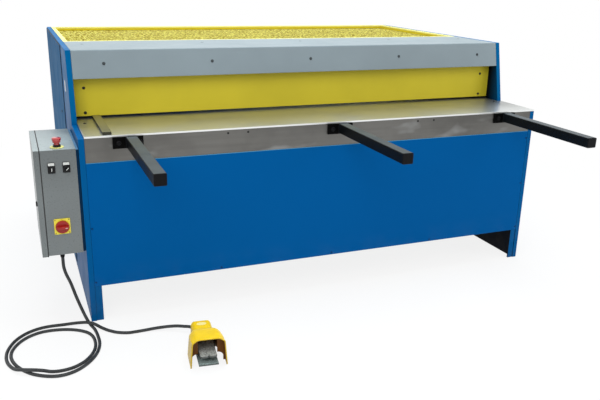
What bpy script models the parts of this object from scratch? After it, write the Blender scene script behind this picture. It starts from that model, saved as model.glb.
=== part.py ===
import math

import bmesh
import bpy
from mathutils import Matrix, Vector
from mathutils.geometry import interpolate_bezier

for leftover in list(bpy.data.objects):
    bpy.data.objects.remove(leftover, do_unlink=True)

# Layout while modelling: X = 0 on the left side frame's outer face, Y = 0 on the
# table's front face with Y growing to the rear, Z = 0 on the floor.

# Clearances between touching pieces, and how far a cutter runs past what it cuts
GAP = 0.0004
SEAT = 0.0003
OVERRUN = 0.010

# Side frames
FRAME_SPAN = 2.360
SIDE_PLATE = 0.024
FRAME_DEPTH = 1.703
FRAME_RISE = 0.319
THROAT_FOOT_Y = 0.285
THROAT_HEAD_Y = 0.357
LEG_WIDTH = 0.055
LEG_FLANGE = 0.008

# Sheet-metal panels
PANEL_SHEET = 0.003
PANEL_BOTTOM = 0.170
SIDE_COVER_FRONT = 0.640
SIDE_COVER_BOTTOM = 0.040
SIDE_COVER_DROP = 0.008
SIDE_COVER_INSET = 0.013
SIDE_COVER_CORNER = 0.006

# Table and bed
TABLE_TOP = 0.854
TABLE_PLATE = 0.008
TABLE_FACE_HEIGHT = 0.106
TABLE_FACE_PLATE = 0.012
BED_FRONT = 0.300
BED_DEPTH = 0.180
BED_HEIGHT = 0.260
BED_WALL = 0.020

# Yellow plate, hold-down beam, blades and blade beam, from front to rear
FINGER_PLATE_Y = 0.395
FINGER_PLATE = 0.005
FINGER_PLATE_DROP = 0.053
FEED_GAP = 0.010
BEAM_DROP = 0.049
BEAM_WEB = 0.030
BEAM_FLANGE = 0.020
HOLD_DOWN_DEPTH = 0.090
HOLD_DOWN_LIFT = 0.020
BLADE_THICKNESS = 0.020
BLADE_HEIGHT = 0.060
BLADE_CLEARANCE = 0.0005
BLADE_PROJECTION = 0.015
BLADE_RAKE = 1.5
BLADE_BEAM_DEPTH = 0.150

# Grey top cover, a bent sheet
COVER_SHEET = 0.003
COVER_DROP = 0.126
COVER_REAR = 0.760
COVER_BEND = 0.006
COVER_BEND_STEPS = 4

# Yellow top guard, a tray with a floor of diamond mesh
GUARD_SHEET = 0.003
GUARD_FLANGE = 0.022
GUARD_DEPTH = 0.022
GUARD_PITCH = 0.120
GUARD_STRAND = 0.010

# Support arms, placed from the left side frame, the middle and the right side frame
LEFT_ARM_INSET = 0.195
MIDDLE_ARM_OFFSET = 0.016
RIGHT_ARM_INSET = 0.158
ARM_TUBE = 0.048
ARM_HEIGHT = 0.046
ARM_REACH = 0.617
ARM_CORNER = 0.004
ARM_CAP = 0.006
ARM_CAP_CHAMFER = 0.0015
BRACKET_PLATE = 0.008
BRACKET_LEFT = 0.056
BRACKET_RIGHT = 0.026
BRACKET_DROP = 0.004

# Side stop on the table
STOP_X = 0.1025
STOP_WIDTH = 0.0375
STOP_THICKNESS = 0.013
STOP_FRONT = 0.016

# Control cabinet on the left side frame
CABINET_FRONT = 0.0
CABINET_DEPTH = 0.410
CABINET_DROP = 0.047
CABINET_HEIGHT = 0.465
CABINET_WIDTH = 0.1425
CABINET_WALL = 0.004
CABINET_RAIL = 0.012
CABINET_RAIL_HEIGHT = 0.030
CABINET_RAIL_INSET = 0.070
DOOR_THICKNESS = 0.025
DOOR_SHEET = 0.003
DOOR_SEAM = 0.0015
DOOR_DROP = 0.004
DOOR_LIP = 0.012
HINGE_RADIUS = 0.006
HINGE_LENGTH = 0.030
HINGE_OFFSET = 0.0075
HINGE_INSET = 0.0975
LOCK_RADIUS = 0.011
LOCK_HEIGHT = 0.006
LOCK_CHAMFER = 0.002
LOCK_INSET = 0.030

# Controls, placed from the cabinet's inner wall, its front, its top or its bottom
STOP_BUTTON_INSET = 0.0475
STOP_BUTTON_FROM_WALL = 0.071
COLLAR_RADIUS = 0.028
COLLAR_THICKNESS = 0.003
STEM_RADIUS = 0.012
HEAD_RADIUS = 0.020
HEAD_THICKNESS = 0.023
HEAD_LIFT = 0.017
HEAD_ROUND = 0.004
SLEEVE_HEIGHT = 0.009
STEM_PLAY = 0.0006
STOP_TRAVEL = 0.005
LEFT_SELECTOR_FROM_WALL = 0.102
RIGHT_SELECTOR_FROM_WALL = 0.0425
RIGHT_SELECTOR_TURN = 45.0
SELECTOR_DROP = 0.081
SELECTOR_LABEL_RISE = 0.005
SELECTOR_PLATE_WIDTH = 0.030
SELECTOR_PLATE_HEIGHT = 0.046
SELECTOR_PLATE_CORNER = 0.003
SELECTOR_PLATE = 0.003
SELECTOR_BODY_RADIUS = 0.014
SELECTOR_BODY = 0.004
KNOB_RADIUS = 0.0115
KNOB_DEPTH = 0.005
KNOB_GRIP_DEPTH = 0.012
KNOB_GRIP_WIDTH = 0.008
KNOB_GRIP_INSET = 0.0006
MAIN_SWITCH_FROM_WALL = 0.0785
MAIN_SWITCH_RISE = 0.129
MAIN_PLATE_WIDTH = 0.066
MAIN_PLATE_HEIGHT = 0.077
MAIN_PLATE_CORNER = 0.004
MAIN_PLATE = 0.004
MAIN_DIAL_RADIUS = 0.028
MAIN_DIAL = 0.009
MAIN_DIAL_CHAMFER = 0.0025
MAIN_GRIP_WIDTH = 0.014
MAIN_GRIP_LENGTH = 0.050
MAIN_GRIP_CORNER = 0.005
MAIN_GRIP_DEPTH = 0.016

# Cable and its glands
CABLE_DIAMETER = 0.014
GLAND_TIP_WALL = 0.002
GLAND_FROM_WALL = 0.086
GLAND_INSET = 0.050
GLAND_RADIUS = 0.014
GLAND_NUT = 0.011
GLAND_LENGTH = 0.030

# Foot switch, modelled about the middle of its front edge on the floor
SWITCH_PLACE = (0.3995, -0.548)
SWITCH_YAW = -6.5
HOOD_SHEET = 0.003
HOOD_CORNER_SHARE = 0.6
HOOD_LENGTH = 0.247
NECK_START = 0.172
NECK_HALF_WIDTH = 0.044
NECK_SHOULDER = 0.067
NECK_HEIGHT = 0.082
NECK_CROWN_INSET = 0.010
WEB_Y = 0.041
WEB_CLEARANCE = 0.0025
ARCH_FOOT = 0.0195
ARCH_REACH = 0.0212
ARCH_RISE = 0.0205
ARCH_STEPS = 5
BASE_FRONT = 0.006
BASE_PLATE = 0.007
BASE_WALL = 0.004
CHEEK_REACH = 0.030
CHEEK_TOP_REACH = 0.008
TREADLE_SIDE_GAP = 0.0025
TREADLE_FRONT = 0.001
TREADLE_SHEET = 0.007
TREADLE_NOSE = 0.003
TREADLE_LEVEL = 0.045
TREADLE_REAR_RISE = 0.002
TREADLE_HUB = 0.010
TREADLE_HUB_DEPTH = 0.009
TREADLE_LOBE_ANGLE = 55.0
TREADLE_LOBE_STEPS = 6
TREADLE_PIVOT_Y = 0.120
TREADLE_PIVOT_Z = 0.040
TREADLE_PIN_RADIUS = 0.003
FOOT_GLAND_RADIUS = 0.012
FOOT_GLAND_NUT = 0.007
FOOT_GLAND_LENGTH = 0.020
FOOT_GLAND_X = -0.026
FOOT_GLAND_Z = 0.026

# Sizes that follow from the ones above
TABLE_UNDERSIDE = TABLE_TOP - TABLE_PLATE
ARM_TOP = TABLE_UNDERSIDE
FRAME_TOP = TABLE_TOP + FRAME_RISE
FRAME_STEP = TABLE_UNDERSIDE - GAP
BAY_LEFT = SIDE_PLATE + GAP
BAY_RIGHT = FRAME_SPAN - SIDE_PLATE - GAP
PANEL_TOP = TABLE_UNDERSIDE - TABLE_FACE_HEIGHT - GAP
BED_REAR = BED_FRONT + BED_DEPTH
BEAM_TOP = FRAME_TOP - BEAM_DROP
COVER_BOTTOM = FRAME_TOP - COVER_DROP
FEED_TOP = TABLE_TOP + FEED_GAP
CABINET_TOP = TABLE_TOP - CABINET_DROP
CABINET_BOTTOM = CABINET_TOP - CABINET_HEIGHT
CABINET_REAR = CABINET_FRONT + CABINET_DEPTH
CABINET_BACK = -CABINET_RAIL
CABINET_SEAM = CABINET_BACK - CABINET_WIDTH
DOOR_INNER = CABINET_SEAM - DOOR_SEAM
DOOR_OUTER = DOOR_INNER - DOOR_THICKNESS
HINGE_Y = CABINET_REAR + HINGE_OFFSET
HINGE_LEVELS = (CABINET_BOTTOM + HINGE_INSET, CABINET_TOP - HINGE_INSET)
LEFT_END = DOOR_OUTER - SEAT - LOCK_HEIGHT
RIGHT_END = FRAME_SPAN + SEAT + PANEL_SHEET
BASE_HALF_WIDTH = NECK_HALF_WIDTH - HOOD_SHEET - GAP
TREADLE_HALF_WIDTH = BASE_HALF_WIDTH - BASE_WALL - TREADLE_SIDE_GAP

# Route of the cable from the cabinet's gland to the foot switch
CABLE_ROUTE = (
    (-0.0915, 0.0480, 0.2350), (-0.0738, 0.0440, 0.1837), (-0.0560, 0.0340, 0.1192),
    (-0.0385, 0.0165, 0.0660), (-0.0240, -0.0050, 0.0290), (-0.0140, -0.0270, 0.0120),
    (-0.0065, -0.0520, 0.0073), (0.0036, -0.0932, 0.0073), (0.0092, -0.1599, 0.0073),
    (0.0080, -0.2258, 0.0073), (-0.0060, -0.2850, 0.0073), (-0.0276, -0.3309, 0.0073),
    (-0.0590, -0.3732, 0.0073), (-0.0937, -0.4040, 0.0073), (-0.1262, -0.4205, 0.0073),
    (-0.1575, -0.4270, 0.0073), (-0.1886, -0.4235, 0.0073), (-0.2204, -0.4105, 0.0073),
    (-0.2480, -0.3930, 0.0073), (-0.2700, -0.3745, 0.0073), (-0.2900, -0.3505, 0.0073),
    (-0.3105, -0.3200, 0.0073), (-0.3270, -0.2849, 0.0073), (-0.3385, -0.2460, 0.0073),
    (-0.3425, -0.2086, 0.0073), (-0.3375, -0.1690, 0.0073), (-0.3210, -0.1271, 0.0073),
    (-0.2950, -0.0885, 0.0073), (-0.2606, -0.0590, 0.0073), (-0.2189, -0.0410, 0.0073),
    (-0.1750, -0.0385, 0.0073), (-0.1286, -0.0462, 0.0073), (-0.0876, -0.0620, 0.0073),
    (-0.0520, -0.0860, 0.0073), (-0.0255, -0.1165, 0.0073), (-0.0115, -0.1549, 0.0073),
    (-0.0078, -0.2000, 0.0073), (-0.0115, -0.2442, 0.0073), (-0.0230, -0.2830, 0.0073),
    (-0.0405, -0.3180, 0.0073), (-0.0650, -0.3500, 0.0073), (-0.0944, -0.3735, 0.0073),
    (-0.1235, -0.3865, 0.0073), (-0.1583, -0.3915, 0.0073), (-0.1950, -0.3890, 0.0095),
    (-0.2290, -0.3835, 0.0185), (-0.2590, -0.3765, 0.0228), (-0.2830, -0.3670, 0.0228),
    (-0.3060, -0.3510, 0.0190), (-0.3270, -0.3270, 0.0110), (-0.3445, -0.2940, 0.0073),
    (-0.3562, -0.2573, 0.0073), (-0.3605, -0.2160, 0.0073), (-0.3565, -0.1690, 0.0073),
    (-0.3418, -0.1201, 0.0073), (-0.3177, -0.0735, 0.0073), (-0.2820, -0.0342, 0.0073),
    (-0.2363, -0.0074, 0.0073), (-0.1864, 0.0028, 0.0073), (-0.1215, -0.0030, 0.0085),
    (-0.0647, -0.0215, 0.0165), (-0.0200, -0.0460, 0.0230), (0.0060, -0.0680, 0.0215),
    (0.0300, -0.0925, 0.0130), (0.0603, -0.1225, 0.0073), (0.0914, -0.1510, 0.0073),
    (0.1362, -0.1706, 0.0073), (0.1723, -0.1725, 0.0073), (0.2085, -0.1740, 0.0085),
    (0.2444, -0.1784, 0.0120), (0.2799, -0.1862, 0.0160), (0.3151, -0.1975, 0.0200),
    (0.3456, -0.2120, 0.0235), (0.3714, -0.2292, 0.0255), (0.3962, -0.2446, 0.0262),
)
CABLE_STEP = 0.030
CABLE_LEAD = 0.035
CABLE_SMOOTHNESS = 24
CABLE_ARRIVAL = 0.004
CABLE_REST = CABLE_DIAMETER / 2 + SEAT

materials = {}


def material(name, colour, metallic=0.0, roughness=0.5):
    made = bpy.data.materials.new(name)
    made.use_nodes = True
    shader = made.node_tree.nodes["Principled BSDF"]
    shader.inputs["Base Color"].default_value = (*colour, 1.0)
    shader.inputs["Metallic"].default_value = metallic
    shader.inputs["Roughness"].default_value = roughness
    made.diffuse_color = (*colour, 1.0)
    materials[name] = made


def solid(name, corners, faces, split=False):
    mesh = bpy.data.meshes.new(name)
    mesh.from_pydata([tuple(corner) for corner in corners], [], faces)
    shell = bmesh.new()
    shell.from_mesh(mesh)
    if split:
        bmesh.ops.triangulate(shell, faces=shell.faces)
    bmesh.ops.recalc_face_normals(shell, faces=shell.faces)
    shell.to_mesh(mesh)
    shell.free()
    made = bpy.data.objects.new(name, mesh)
    bpy.context.scene.collection.objects.link(made)
    return made


def prism(name, outline, axis, start, end):
    """Extrude an outline along X (outline in Y, Z), Y (X, Z) or Z (X, Y)."""
    place = {
        "X": lambda a, b, along: (along, a, b),
        "Y": lambda a, b, along: (a, along, b),
        "Z": lambda a, b, along: (a, b, along),
    }[axis]
    count = len(outline)
    corners = [place(a, b, along) for along in (start, end) for a, b in outline]
    faces = [tuple(range(count)), tuple(range(count, 2 * count))]
    faces += [(i, (i + 1) % count, (i + 1) % count + count, i + count) for i in range(count)]
    return solid(name, corners, faces)


def block(name, low, high):
    outline = [(low[0], low[1]), (high[0], low[1]), (high[0], high[1]), (low[0], high[1])]
    return prism(name, outline, "Z", low[2], high[2])


def turned(name, profile, centre, axis, segments=24):
    """Revolve (radius, height) points about an axis; the end points lie on that axis."""
    rings = profile[1:-1]
    turn = Vector((0, 0, 1)).rotation_difference(Vector(axis)).to_matrix()
    corners = [Vector((0, 0, profile[0][1]))]
    for radius, height in rings:
        for step in range(segments):
            angle = 2 * math.pi * step / segments
            corners.append(Vector((radius * math.cos(angle), radius * math.sin(angle), height)))
    corners.append(Vector((0, 0, profile[-1][1])))
    last = len(corners) - 1
    faces = []
    for step in range(segments):
        after = (step + 1) % segments
        faces.append((0, 1 + after, 1 + step))
        for ring in range(len(rings) - 1):
            low, high = 1 + ring * segments, 1 + (ring + 1) * segments
            faces.append((low + step, low + after, high + after, high + step))
        top = 1 + (len(rings) - 1) * segments
        faces.append((last, top + step, top + after))
    return solid(name, [Vector(centre) + turn @ corner for corner in corners], faces)


def drum(name, centre, axis, radius, length, segments=24):
    return turned(name, [(0, 0), (radius, 0), (radius, length), (0, length)], centre, axis, segments)


def loft(name, sections):
    """Skin a closed solid through sections that have the same number of points."""
    count = len(sections[0])
    corners = [corner for section in sections for corner in section]
    faces = [tuple(range(count)), tuple(range(len(corners) - count, len(corners)))]
    for level in range(len(sections) - 1):
        low, high = level * count, (level + 1) * count
        faces += [(low + i, low + (i + 1) % count, high + (i + 1) % count, high + i)
                  for i in range(count)]
    return solid(name, corners, faces, split=True)


def combine(target, tools, operation):
    for tool in tools:
        modifier = target.modifiers.new(operation.title(), "BOOLEAN")
        modifier.operation = operation
        modifier.solver = "EXACT"
        modifier.object = tool
        bpy.context.view_layer.update()
        evaluated = target.evaluated_get(bpy.context.evaluated_depsgraph_get())
        target.data = bpy.data.meshes.new_from_object(evaluated)
        target.data.name = target.name
        target.modifiers.clear()
        bpy.data.objects.remove(tool, do_unlink=True)
    return target


def fuse(target, *tools):
    return combine(target, tools, "UNION")


def cut(target, *tools):
    return combine(target, tools, "DIFFERENCE")


def rounded(low, high, radius, steps=3):
    """Rectangle outline with rounded corners."""
    centres = ((high[0], high[1], 0), (low[0], high[1], 90), (low[0], low[1], 180), (high[0], low[1], 270))
    outline = []
    for corner_x, corner_y, start in centres:
        x = corner_x - math.copysign(radius, corner_x - (low[0] + high[0]) / 2)
        y = corner_y - math.copysign(radius, corner_y - (low[1] + high[1]) / 2)
        for step in range(steps + 1):
            angle = math.radians(start + 90 * step / steps)
            outline.append((x + radius * math.cos(angle), y + radius * math.sin(angle)))
    return outline


def quarter(radius, height, fillet, start, steps=3):
    """Profile points of a rounded edge at a radius and height, over 90 degrees from start."""
    points = []
    for step in range(steps + 1):
        angle = math.radians(start + 90 * step / steps)
        middle = height - math.copysign(fillet, math.sin(math.radians(start + 45)))
        points.append((radius - fillet + fillet * math.cos(angle), middle + fillet * math.sin(angle)))
    return points


def finish(piece, material_name, axis_point=None):
    piece.data.materials.clear()
    piece.data.materials.append(materials[material_name])
    if axis_point is not None:
        offset = Vector(axis_point) - piece.location
        piece.data.transform(Matrix.Translation(-offset))
        piece.location = Vector(axis_point)
    return piece


def make_materials():
    material("blue_paint", (0.004, 0.100, 0.330), 0.0, 0.35)
    material("grey_paint", (0.290, 0.330, 0.350), 0.0, 0.45)
    material("yellow_paint", (0.640, 0.520, 0.020), 0.0, 0.40)
    material("bare_steel", (0.420, 0.400, 0.370), 1.0, 0.35)
    material("black_paint", (0.012, 0.013, 0.015), 0.0, 0.45)
    material("cabinet_paint", (0.230, 0.250, 0.240), 0.0, 0.45)
    material("black_plastic", (0.012, 0.012, 0.012), 0.0, 0.40)
    material("red_plastic", (0.600, 0.010, 0.010), 0.0, 0.30)
    material("yellow_plastic", (0.900, 0.620, 0.010), 0.0, 0.40)
    material("cast_aluminium", (0.300, 0.310, 0.290), 1.0, 0.50)
    material("cable_rubber", (0.030, 0.032, 0.033), 0.0, 0.60)


def side_frame(name, outer, inner):
    """Plate with the stepped throat and a folded leg strip at its front and rear."""
    outline = [
        (0.0, 0.0), (FRAME_DEPTH, 0.0), (FRAME_DEPTH, FRAME_TOP), (THROAT_HEAD_Y, FRAME_TOP),
        (THROAT_FOOT_Y, FRAME_STEP), (0.0, FRAME_STEP),
    ]
    plate = prism(name, outline, "X", min(outer, inner), max(outer, inner))
    reach = outer + math.copysign(LEG_WIDTH, inner - outer)
    root = (outer + inner) / 2
    low_x, high_x = min(root, reach), max(root, reach)
    flange_top = PANEL_TOP - GAP
    front = PANEL_SHEET + GAP
    rear = FRAME_DEPTH - PANEL_SHEET - GAP
    strips = [
        block("front_strip", (low_x, front, 0.0), (high_x, front + LEG_FLANGE, flange_top)),
        block("rear_strip", (low_x, rear - LEG_FLANGE, 0.0), (high_x, rear, flange_top)),
    ]
    return finish(fuse(plate, *strips), "blue_paint")


def side_covers():
    low_corner = (SIDE_COVER_FRONT, SIDE_COVER_BOTTOM)
    high_corner = (FRAME_DEPTH - SIDE_COVER_INSET, FRAME_TOP - SIDE_COVER_DROP)
    outline = rounded(low_corner, high_corner, SIDE_COVER_CORNER)
    for name, face in (("left_side_cover", -SEAT - PANEL_SHEET), ("right_side_cover", FRAME_SPAN + SEAT)):
        finish(prism(name, outline, "X", face, face + PANEL_SHEET), "blue_paint")


def panels():
    finish(block("front_panel", (BAY_LEFT, 0.0, PANEL_BOTTOM), (BAY_RIGHT, PANEL_SHEET, PANEL_TOP)),
           "blue_paint")
    finish(block("rear_panel", (BAY_LEFT, FRAME_DEPTH - PANEL_SHEET, PANEL_BOTTOM),
                 (BAY_RIGHT, FRAME_DEPTH, FRAME_TOP - GAP)), "blue_paint")


def table():
    """Plate notched round the right side frame, its apron and the bed beam that carries it."""
    shoulder = THROAT_FOOT_Y - GAP
    outline = [(BAY_LEFT, 0.0), (FRAME_SPAN, 0.0), (FRAME_SPAN, shoulder), (BAY_RIGHT, shoulder),
               (BAY_RIGHT, BED_REAR), (BAY_LEFT, BED_REAR)]
    finish(prism("table_top", outline, "Z", TABLE_UNDERSIDE, TABLE_TOP), "bare_steel")
    face_top = TABLE_UNDERSIDE - SEAT
    finish(block("table_face", (BAY_LEFT, 0.0, PANEL_TOP + GAP),
                 (BAY_RIGHT, TABLE_FACE_PLATE, face_top)), "bare_steel")
    low, inner = face_top - BED_HEIGHT, BED_REAR - BED_WALL
    outline = [
        (BED_FRONT, low), (BED_REAR, low), (BED_REAR, face_top), (BED_FRONT, face_top),
        (BED_FRONT, face_top - BED_WALL), (inner, face_top - BED_WALL),
        (inner, low + BED_WALL), (BED_FRONT, low + BED_WALL),
    ]
    finish(prism("bed_beam", outline, "X", BAY_LEFT, BAY_RIGHT), "blue_paint")


def finger_plate():
    """Yellow plate over the feed gap, and the hold-down beam behind it."""
    finish(block("finger_plate", (BAY_LEFT, FINGER_PLATE_Y, FEED_TOP),
                 (BAY_RIGHT, FINGER_PLATE_Y + FINGER_PLATE, FRAME_TOP - FINGER_PLATE_DROP)), "yellow_paint")
    front = FINGER_PLATE_Y + FINGER_PLATE + SEAT
    base, rear = FEED_TOP + HOLD_DOWN_LIFT, front + HOLD_DOWN_DEPTH
    outline = [
        (front, base), (front + BEAM_WEB, base), (front + BEAM_WEB, BEAM_TOP - BEAM_FLANGE),
        (rear, BEAM_TOP - BEAM_FLANGE), (rear, BEAM_TOP), (front, BEAM_TOP),
    ]
    finish(prism("hold_down_beam", outline, "X", BAY_LEFT, BAY_RIGHT), "blue_paint")


def blades():
    """Fixed blade on the bed's rear face, and the raked blade on the beam behind it."""
    fixed = BED_REAR + SEAT
    finish(block("lower_blade", (BAY_LEFT, fixed, TABLE_TOP - BLADE_HEIGHT),
                 (BAY_RIGHT, fixed + BLADE_THICKNESS, TABLE_TOP)), "bare_steel")
    front = fixed + BLADE_THICKNESS + BLADE_CLEARANCE
    rise = (BAY_RIGHT - BAY_LEFT) * math.tan(math.radians(BLADE_RAKE))
    outline = [(BAY_LEFT, FEED_TOP), (BAY_RIGHT, FEED_TOP + rise),
               (BAY_RIGHT, FEED_TOP + rise + BLADE_HEIGHT), (BAY_LEFT, FEED_TOP + BLADE_HEIGHT)]
    finish(prism("upper_blade", outline, "Y", front, front + BLADE_THICKNESS), "bare_steel")
    web = front + BLADE_THICKNESS + SEAT
    base = FEED_TOP + BLADE_PROJECTION
    outline = [(BAY_LEFT, base), (BAY_RIGHT, base + rise), (BAY_RIGHT, BEAM_TOP), (BAY_LEFT, BEAM_TOP)]
    beam = prism("blade_beam", outline, "Y", web, web + BEAM_WEB)
    flange = block("flange", (BAY_LEFT, web + BEAM_WEB / 2, BEAM_TOP - BEAM_FLANGE),
                   (BAY_RIGHT, web + BLADE_BEAM_DEPTH, BEAM_TOP))
    finish(fuse(beam, flange), "blue_paint")


def throat_y(level):
    lean = (THROAT_HEAD_Y - THROAT_FOOT_Y) / (FRAME_TOP - FRAME_STEP)
    return THROAT_FOOT_Y + (level - FRAME_STEP) * lean


def top_cover():
    """Bent sheet: a leaning front and a flat top flange, with a rounded fold."""
    lean = math.atan2(throat_y(FRAME_TOP) - throat_y(COVER_BOTTOM), COVER_DROP)
    turn = math.pi / 2 - lean
    tangent = COVER_BEND * math.tan(turn / 2)
    fold = Vector((THROAT_HEAD_Y + tangent, FRAME_TOP - COVER_BEND))
    outer, inner = [], []
    for step in range(COVER_BEND_STEPS + 1):
        angle = math.pi / 2 + turn * step / COVER_BEND_STEPS
        spoke = Vector((math.cos(angle), math.sin(angle)))
        outer.append(tuple(fold + spoke * COVER_BEND))
        inner.append(tuple(fold + spoke * (COVER_BEND - COVER_SHEET)))
    across = Vector((math.cos(lean), -math.sin(lean))) * COVER_SHEET
    foot = Vector((throat_y(COVER_BOTTOM), COVER_BOTTOM))
    outline = [(COVER_REAR, FRAME_TOP)] + outer + [tuple(foot), tuple(foot + across)]
    outline += list(reversed(inner)) + [(COVER_REAR, FRAME_TOP - COVER_SHEET)]
    finish(prism("top_cover", outline, "X", BAY_LEFT, BAY_RIGHT), "grey_paint")


def top_guard():
    """Folded tray rim, with the floor of diamond mesh lying under its walls."""
    low = Vector((BAY_LEFT, COVER_REAR + GAP, FRAME_TOP))
    high = Vector((BAY_RIGHT, FRAME_DEPTH - PANEL_SHEET - GAP, FRAME_TOP))
    wall = Vector((GUARD_FLANGE - GUARD_SHEET, GUARD_FLANGE - GUARD_SHEET, 0.0))
    flange = Vector((GUARD_FLANGE, GUARD_FLANGE, 0.0))
    down = Vector((0.0, 0.0, -1.0))
    rim = block("top_guard_rim", low + down * GUARD_SHEET, high)
    walls = block("walls", low + wall + down * GUARD_DEPTH, high - wall + down * GUARD_SHEET / 2)
    pocket = block("pocket", low + flange + down * (GUARD_DEPTH + OVERRUN), high - flange - down * OVERRUN)
    finish(cut(fuse(rim, walls), pocket), "yellow_paint")
    drop = down * (GUARD_DEPTH + SEAT)
    finish(diamond_mesh("top_guard_mesh", low + wall + drop, high - wall + drop), "yellow_paint")


def diamond_mesh(name, low, high):
    """Sheet of diamond openings between strands, with half diamonds along its edges."""
    across = 2 * round((high.x - low.x) / GUARD_PITCH)
    deep = 2 * round((high.y - low.y) / GUARD_PITCH)
    shell = bmesh.new()
    crossings = {}
    for i in range(across + 1):
        for j in range(i % 2, deep + 1, 2):
            x = low.x + (high.x - low.x) * i / across
            y = low.y + (high.y - low.y) * j / deep
            crossings[i, j] = shell.verts.new((x, y, low.z - GUARD_SHEET))
    for i in range(across + 1):
        for j in range((i + 1) % 2, deep + 1, 2):
            around = ((i - 1, j), (i, j - 1), (i + 1, j), (i, j + 1))
            shell.faces.new([crossings[place] for place in around if place in crossings])
    shell.normal_update()
    openings = list(shell.faces)
    bmesh.ops.inset_individual(shell, faces=openings, thickness=GUARD_STRAND / 2, use_even_offset=True)
    bmesh.ops.delete(shell, geom=openings, context="FACES_ONLY")
    raised = bmesh.ops.extrude_face_region(shell, geom=list(shell.faces))["geom"]
    corners = [item for item in raised if isinstance(item, bmesh.types.BMVert)]
    bmesh.ops.translate(shell, verts=corners, vec=(0.0, 0.0, GUARD_SHEET))
    bmesh.ops.recalc_face_normals(shell, faces=shell.faces)
    mesh = bpy.data.meshes.new(name)
    shell.to_mesh(mesh)
    shell.free()
    made = bpy.data.objects.new(name, mesh)
    bpy.context.scene.collection.objects.link(made)
    return made


def support_arms():
    places = {
        "left": LEFT_ARM_INSET,
        "middle": FRAME_SPAN / 2 + MIDDLE_ARM_OFFSET,
        "right": FRAME_SPAN - RIGHT_ARM_INSET - ARM_TUBE,
    }
    low, plate_back = ARM_TOP - ARM_HEIGHT, -SEAT
    plate_front, tip = plate_back - BRACKET_PLATE, -ARM_REACH
    for name, left in places.items():
        right = left + ARM_TUBE
        finish(block(name + "_arm_bracket", (left - BRACKET_LEFT, plate_front, low - BRACKET_DROP),
                     (right + BRACKET_RIGHT, plate_back, ARM_TOP)), "black_paint")
        outline = rounded((left, low), (right, ARM_TOP), ARM_CORNER)
        finish(prism(name + "_support_arm", outline, "Y", tip + ARM_CAP + SEAT, plate_front - SEAT),
               "black_paint")
        end = rounded((left + ARM_CAP_CHAMFER, low + ARM_CAP_CHAMFER),
                      (right - ARM_CAP_CHAMFER, ARM_TOP - ARM_CAP_CHAMFER), ARM_CORNER - ARM_CAP_CHAMFER)
        sections = ((end, tip), (outline, tip + ARM_CAP_CHAMFER), (outline, tip + ARM_CAP))
        finish(loft(name + "_arm_cap", [[(x, y, z) for x, z in ring] for ring, y in sections]),
               "black_plastic")


def side_stop():
    base = TABLE_TOP + SEAT
    finish(block("side_stop", (STOP_X, STOP_FRONT, base),
                 (STOP_X + STOP_WIDTH, FINGER_PLATE_Y - GAP, base + STOP_THICKNESS)), "bare_steel")


def knuckle(low, high, leaf_low, leaf_high):
    """Hinge barrel between two levels, with the leaf that joins it to its panel."""
    barrel = drum("knuckle", (CABINET_SEAM, HINGE_Y, low), (0, 0, 1), HINGE_RADIUS, high - low, 16)
    return fuse(barrel, block("leaf", (*leaf_low, low), (*leaf_high, high)))


def control_cabinet():
    front, rear = CABINET_FRONT, CABINET_REAR
    body = block("control_cabinet", (CABINET_SEAM, front, CABINET_BOTTOM), (CABINET_BACK, rear, CABINET_TOP))
    wall = CABINET_WALL
    room = block("room", (CABINET_SEAM - OVERRUN, front + wall, CABINET_BOTTOM + wall),
                 (CABINET_BACK - wall, rear - wall, CABINET_TOP - wall))
    rails = []
    for level in (CABINET_BOTTOM + CABINET_RAIL_INSET, CABINET_TOP - CABINET_RAIL_INSET):
        rails.append(block("rail", (CABINET_BACK - wall / 2, front + wall, level - CABINET_RAIL_HEIGHT / 2),
                           (-SEAT, rear - wall, level + CABINET_RAIL_HEIGHT / 2)))
    fuse(cut(body, room), *rails)
    for level in HINGE_LEVELS:
        fuse(body, knuckle(level - HINGE_LENGTH, level - GAP, (CABINET_SEAM, rear - wall / 2),
                           (CABINET_SEAM + HINGE_RADIUS, HINGE_Y)))
    finish(body, "cabinet_paint")


def cabinet_door():
    """Pan door that swings on the two hinges at the cabinet's rear edge."""
    front, rear = CABINET_FRONT, CABINET_REAR
    low, high = CABINET_BOTTOM - DOOR_DROP, CABINET_TOP
    door = block("cabinet_door", (DOOR_OUTER, front, low), (DOOR_INNER, rear, high))
    pan = block("pan", (DOOR_OUTER + DOOR_SHEET, front + DOOR_LIP, low + DOOR_LIP),
                (DOOR_INNER + OVERRUN, rear - DOOR_LIP, high - DOOR_LIP))
    cut(door, pan)
    for level in HINGE_LEVELS:
        fuse(door, knuckle(level + GAP, level + HINGE_LENGTH, (DOOR_INNER - HINGE_RADIUS, rear - DOOR_SHEET),
                           (DOOR_INNER, HINGE_Y)))
    finish(door, "cabinet_paint", (CABINET_SEAM, HINGE_Y, (low + high) / 2))
    profile = [(0, 0), (LOCK_RADIUS, 0), (LOCK_RADIUS, LOCK_HEIGHT - LOCK_CHAMFER),
               (LOCK_RADIUS - LOCK_CHAMFER, LOCK_HEIGHT), (0, LOCK_HEIGHT)]
    lock = turned("door_lock", profile, (DOOR_OUTER - SEAT, front + LOCK_INSET, (low + high) / 2),
                  (-1, 0, 0), 20)
    finish(lock, "black_plastic")


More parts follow.
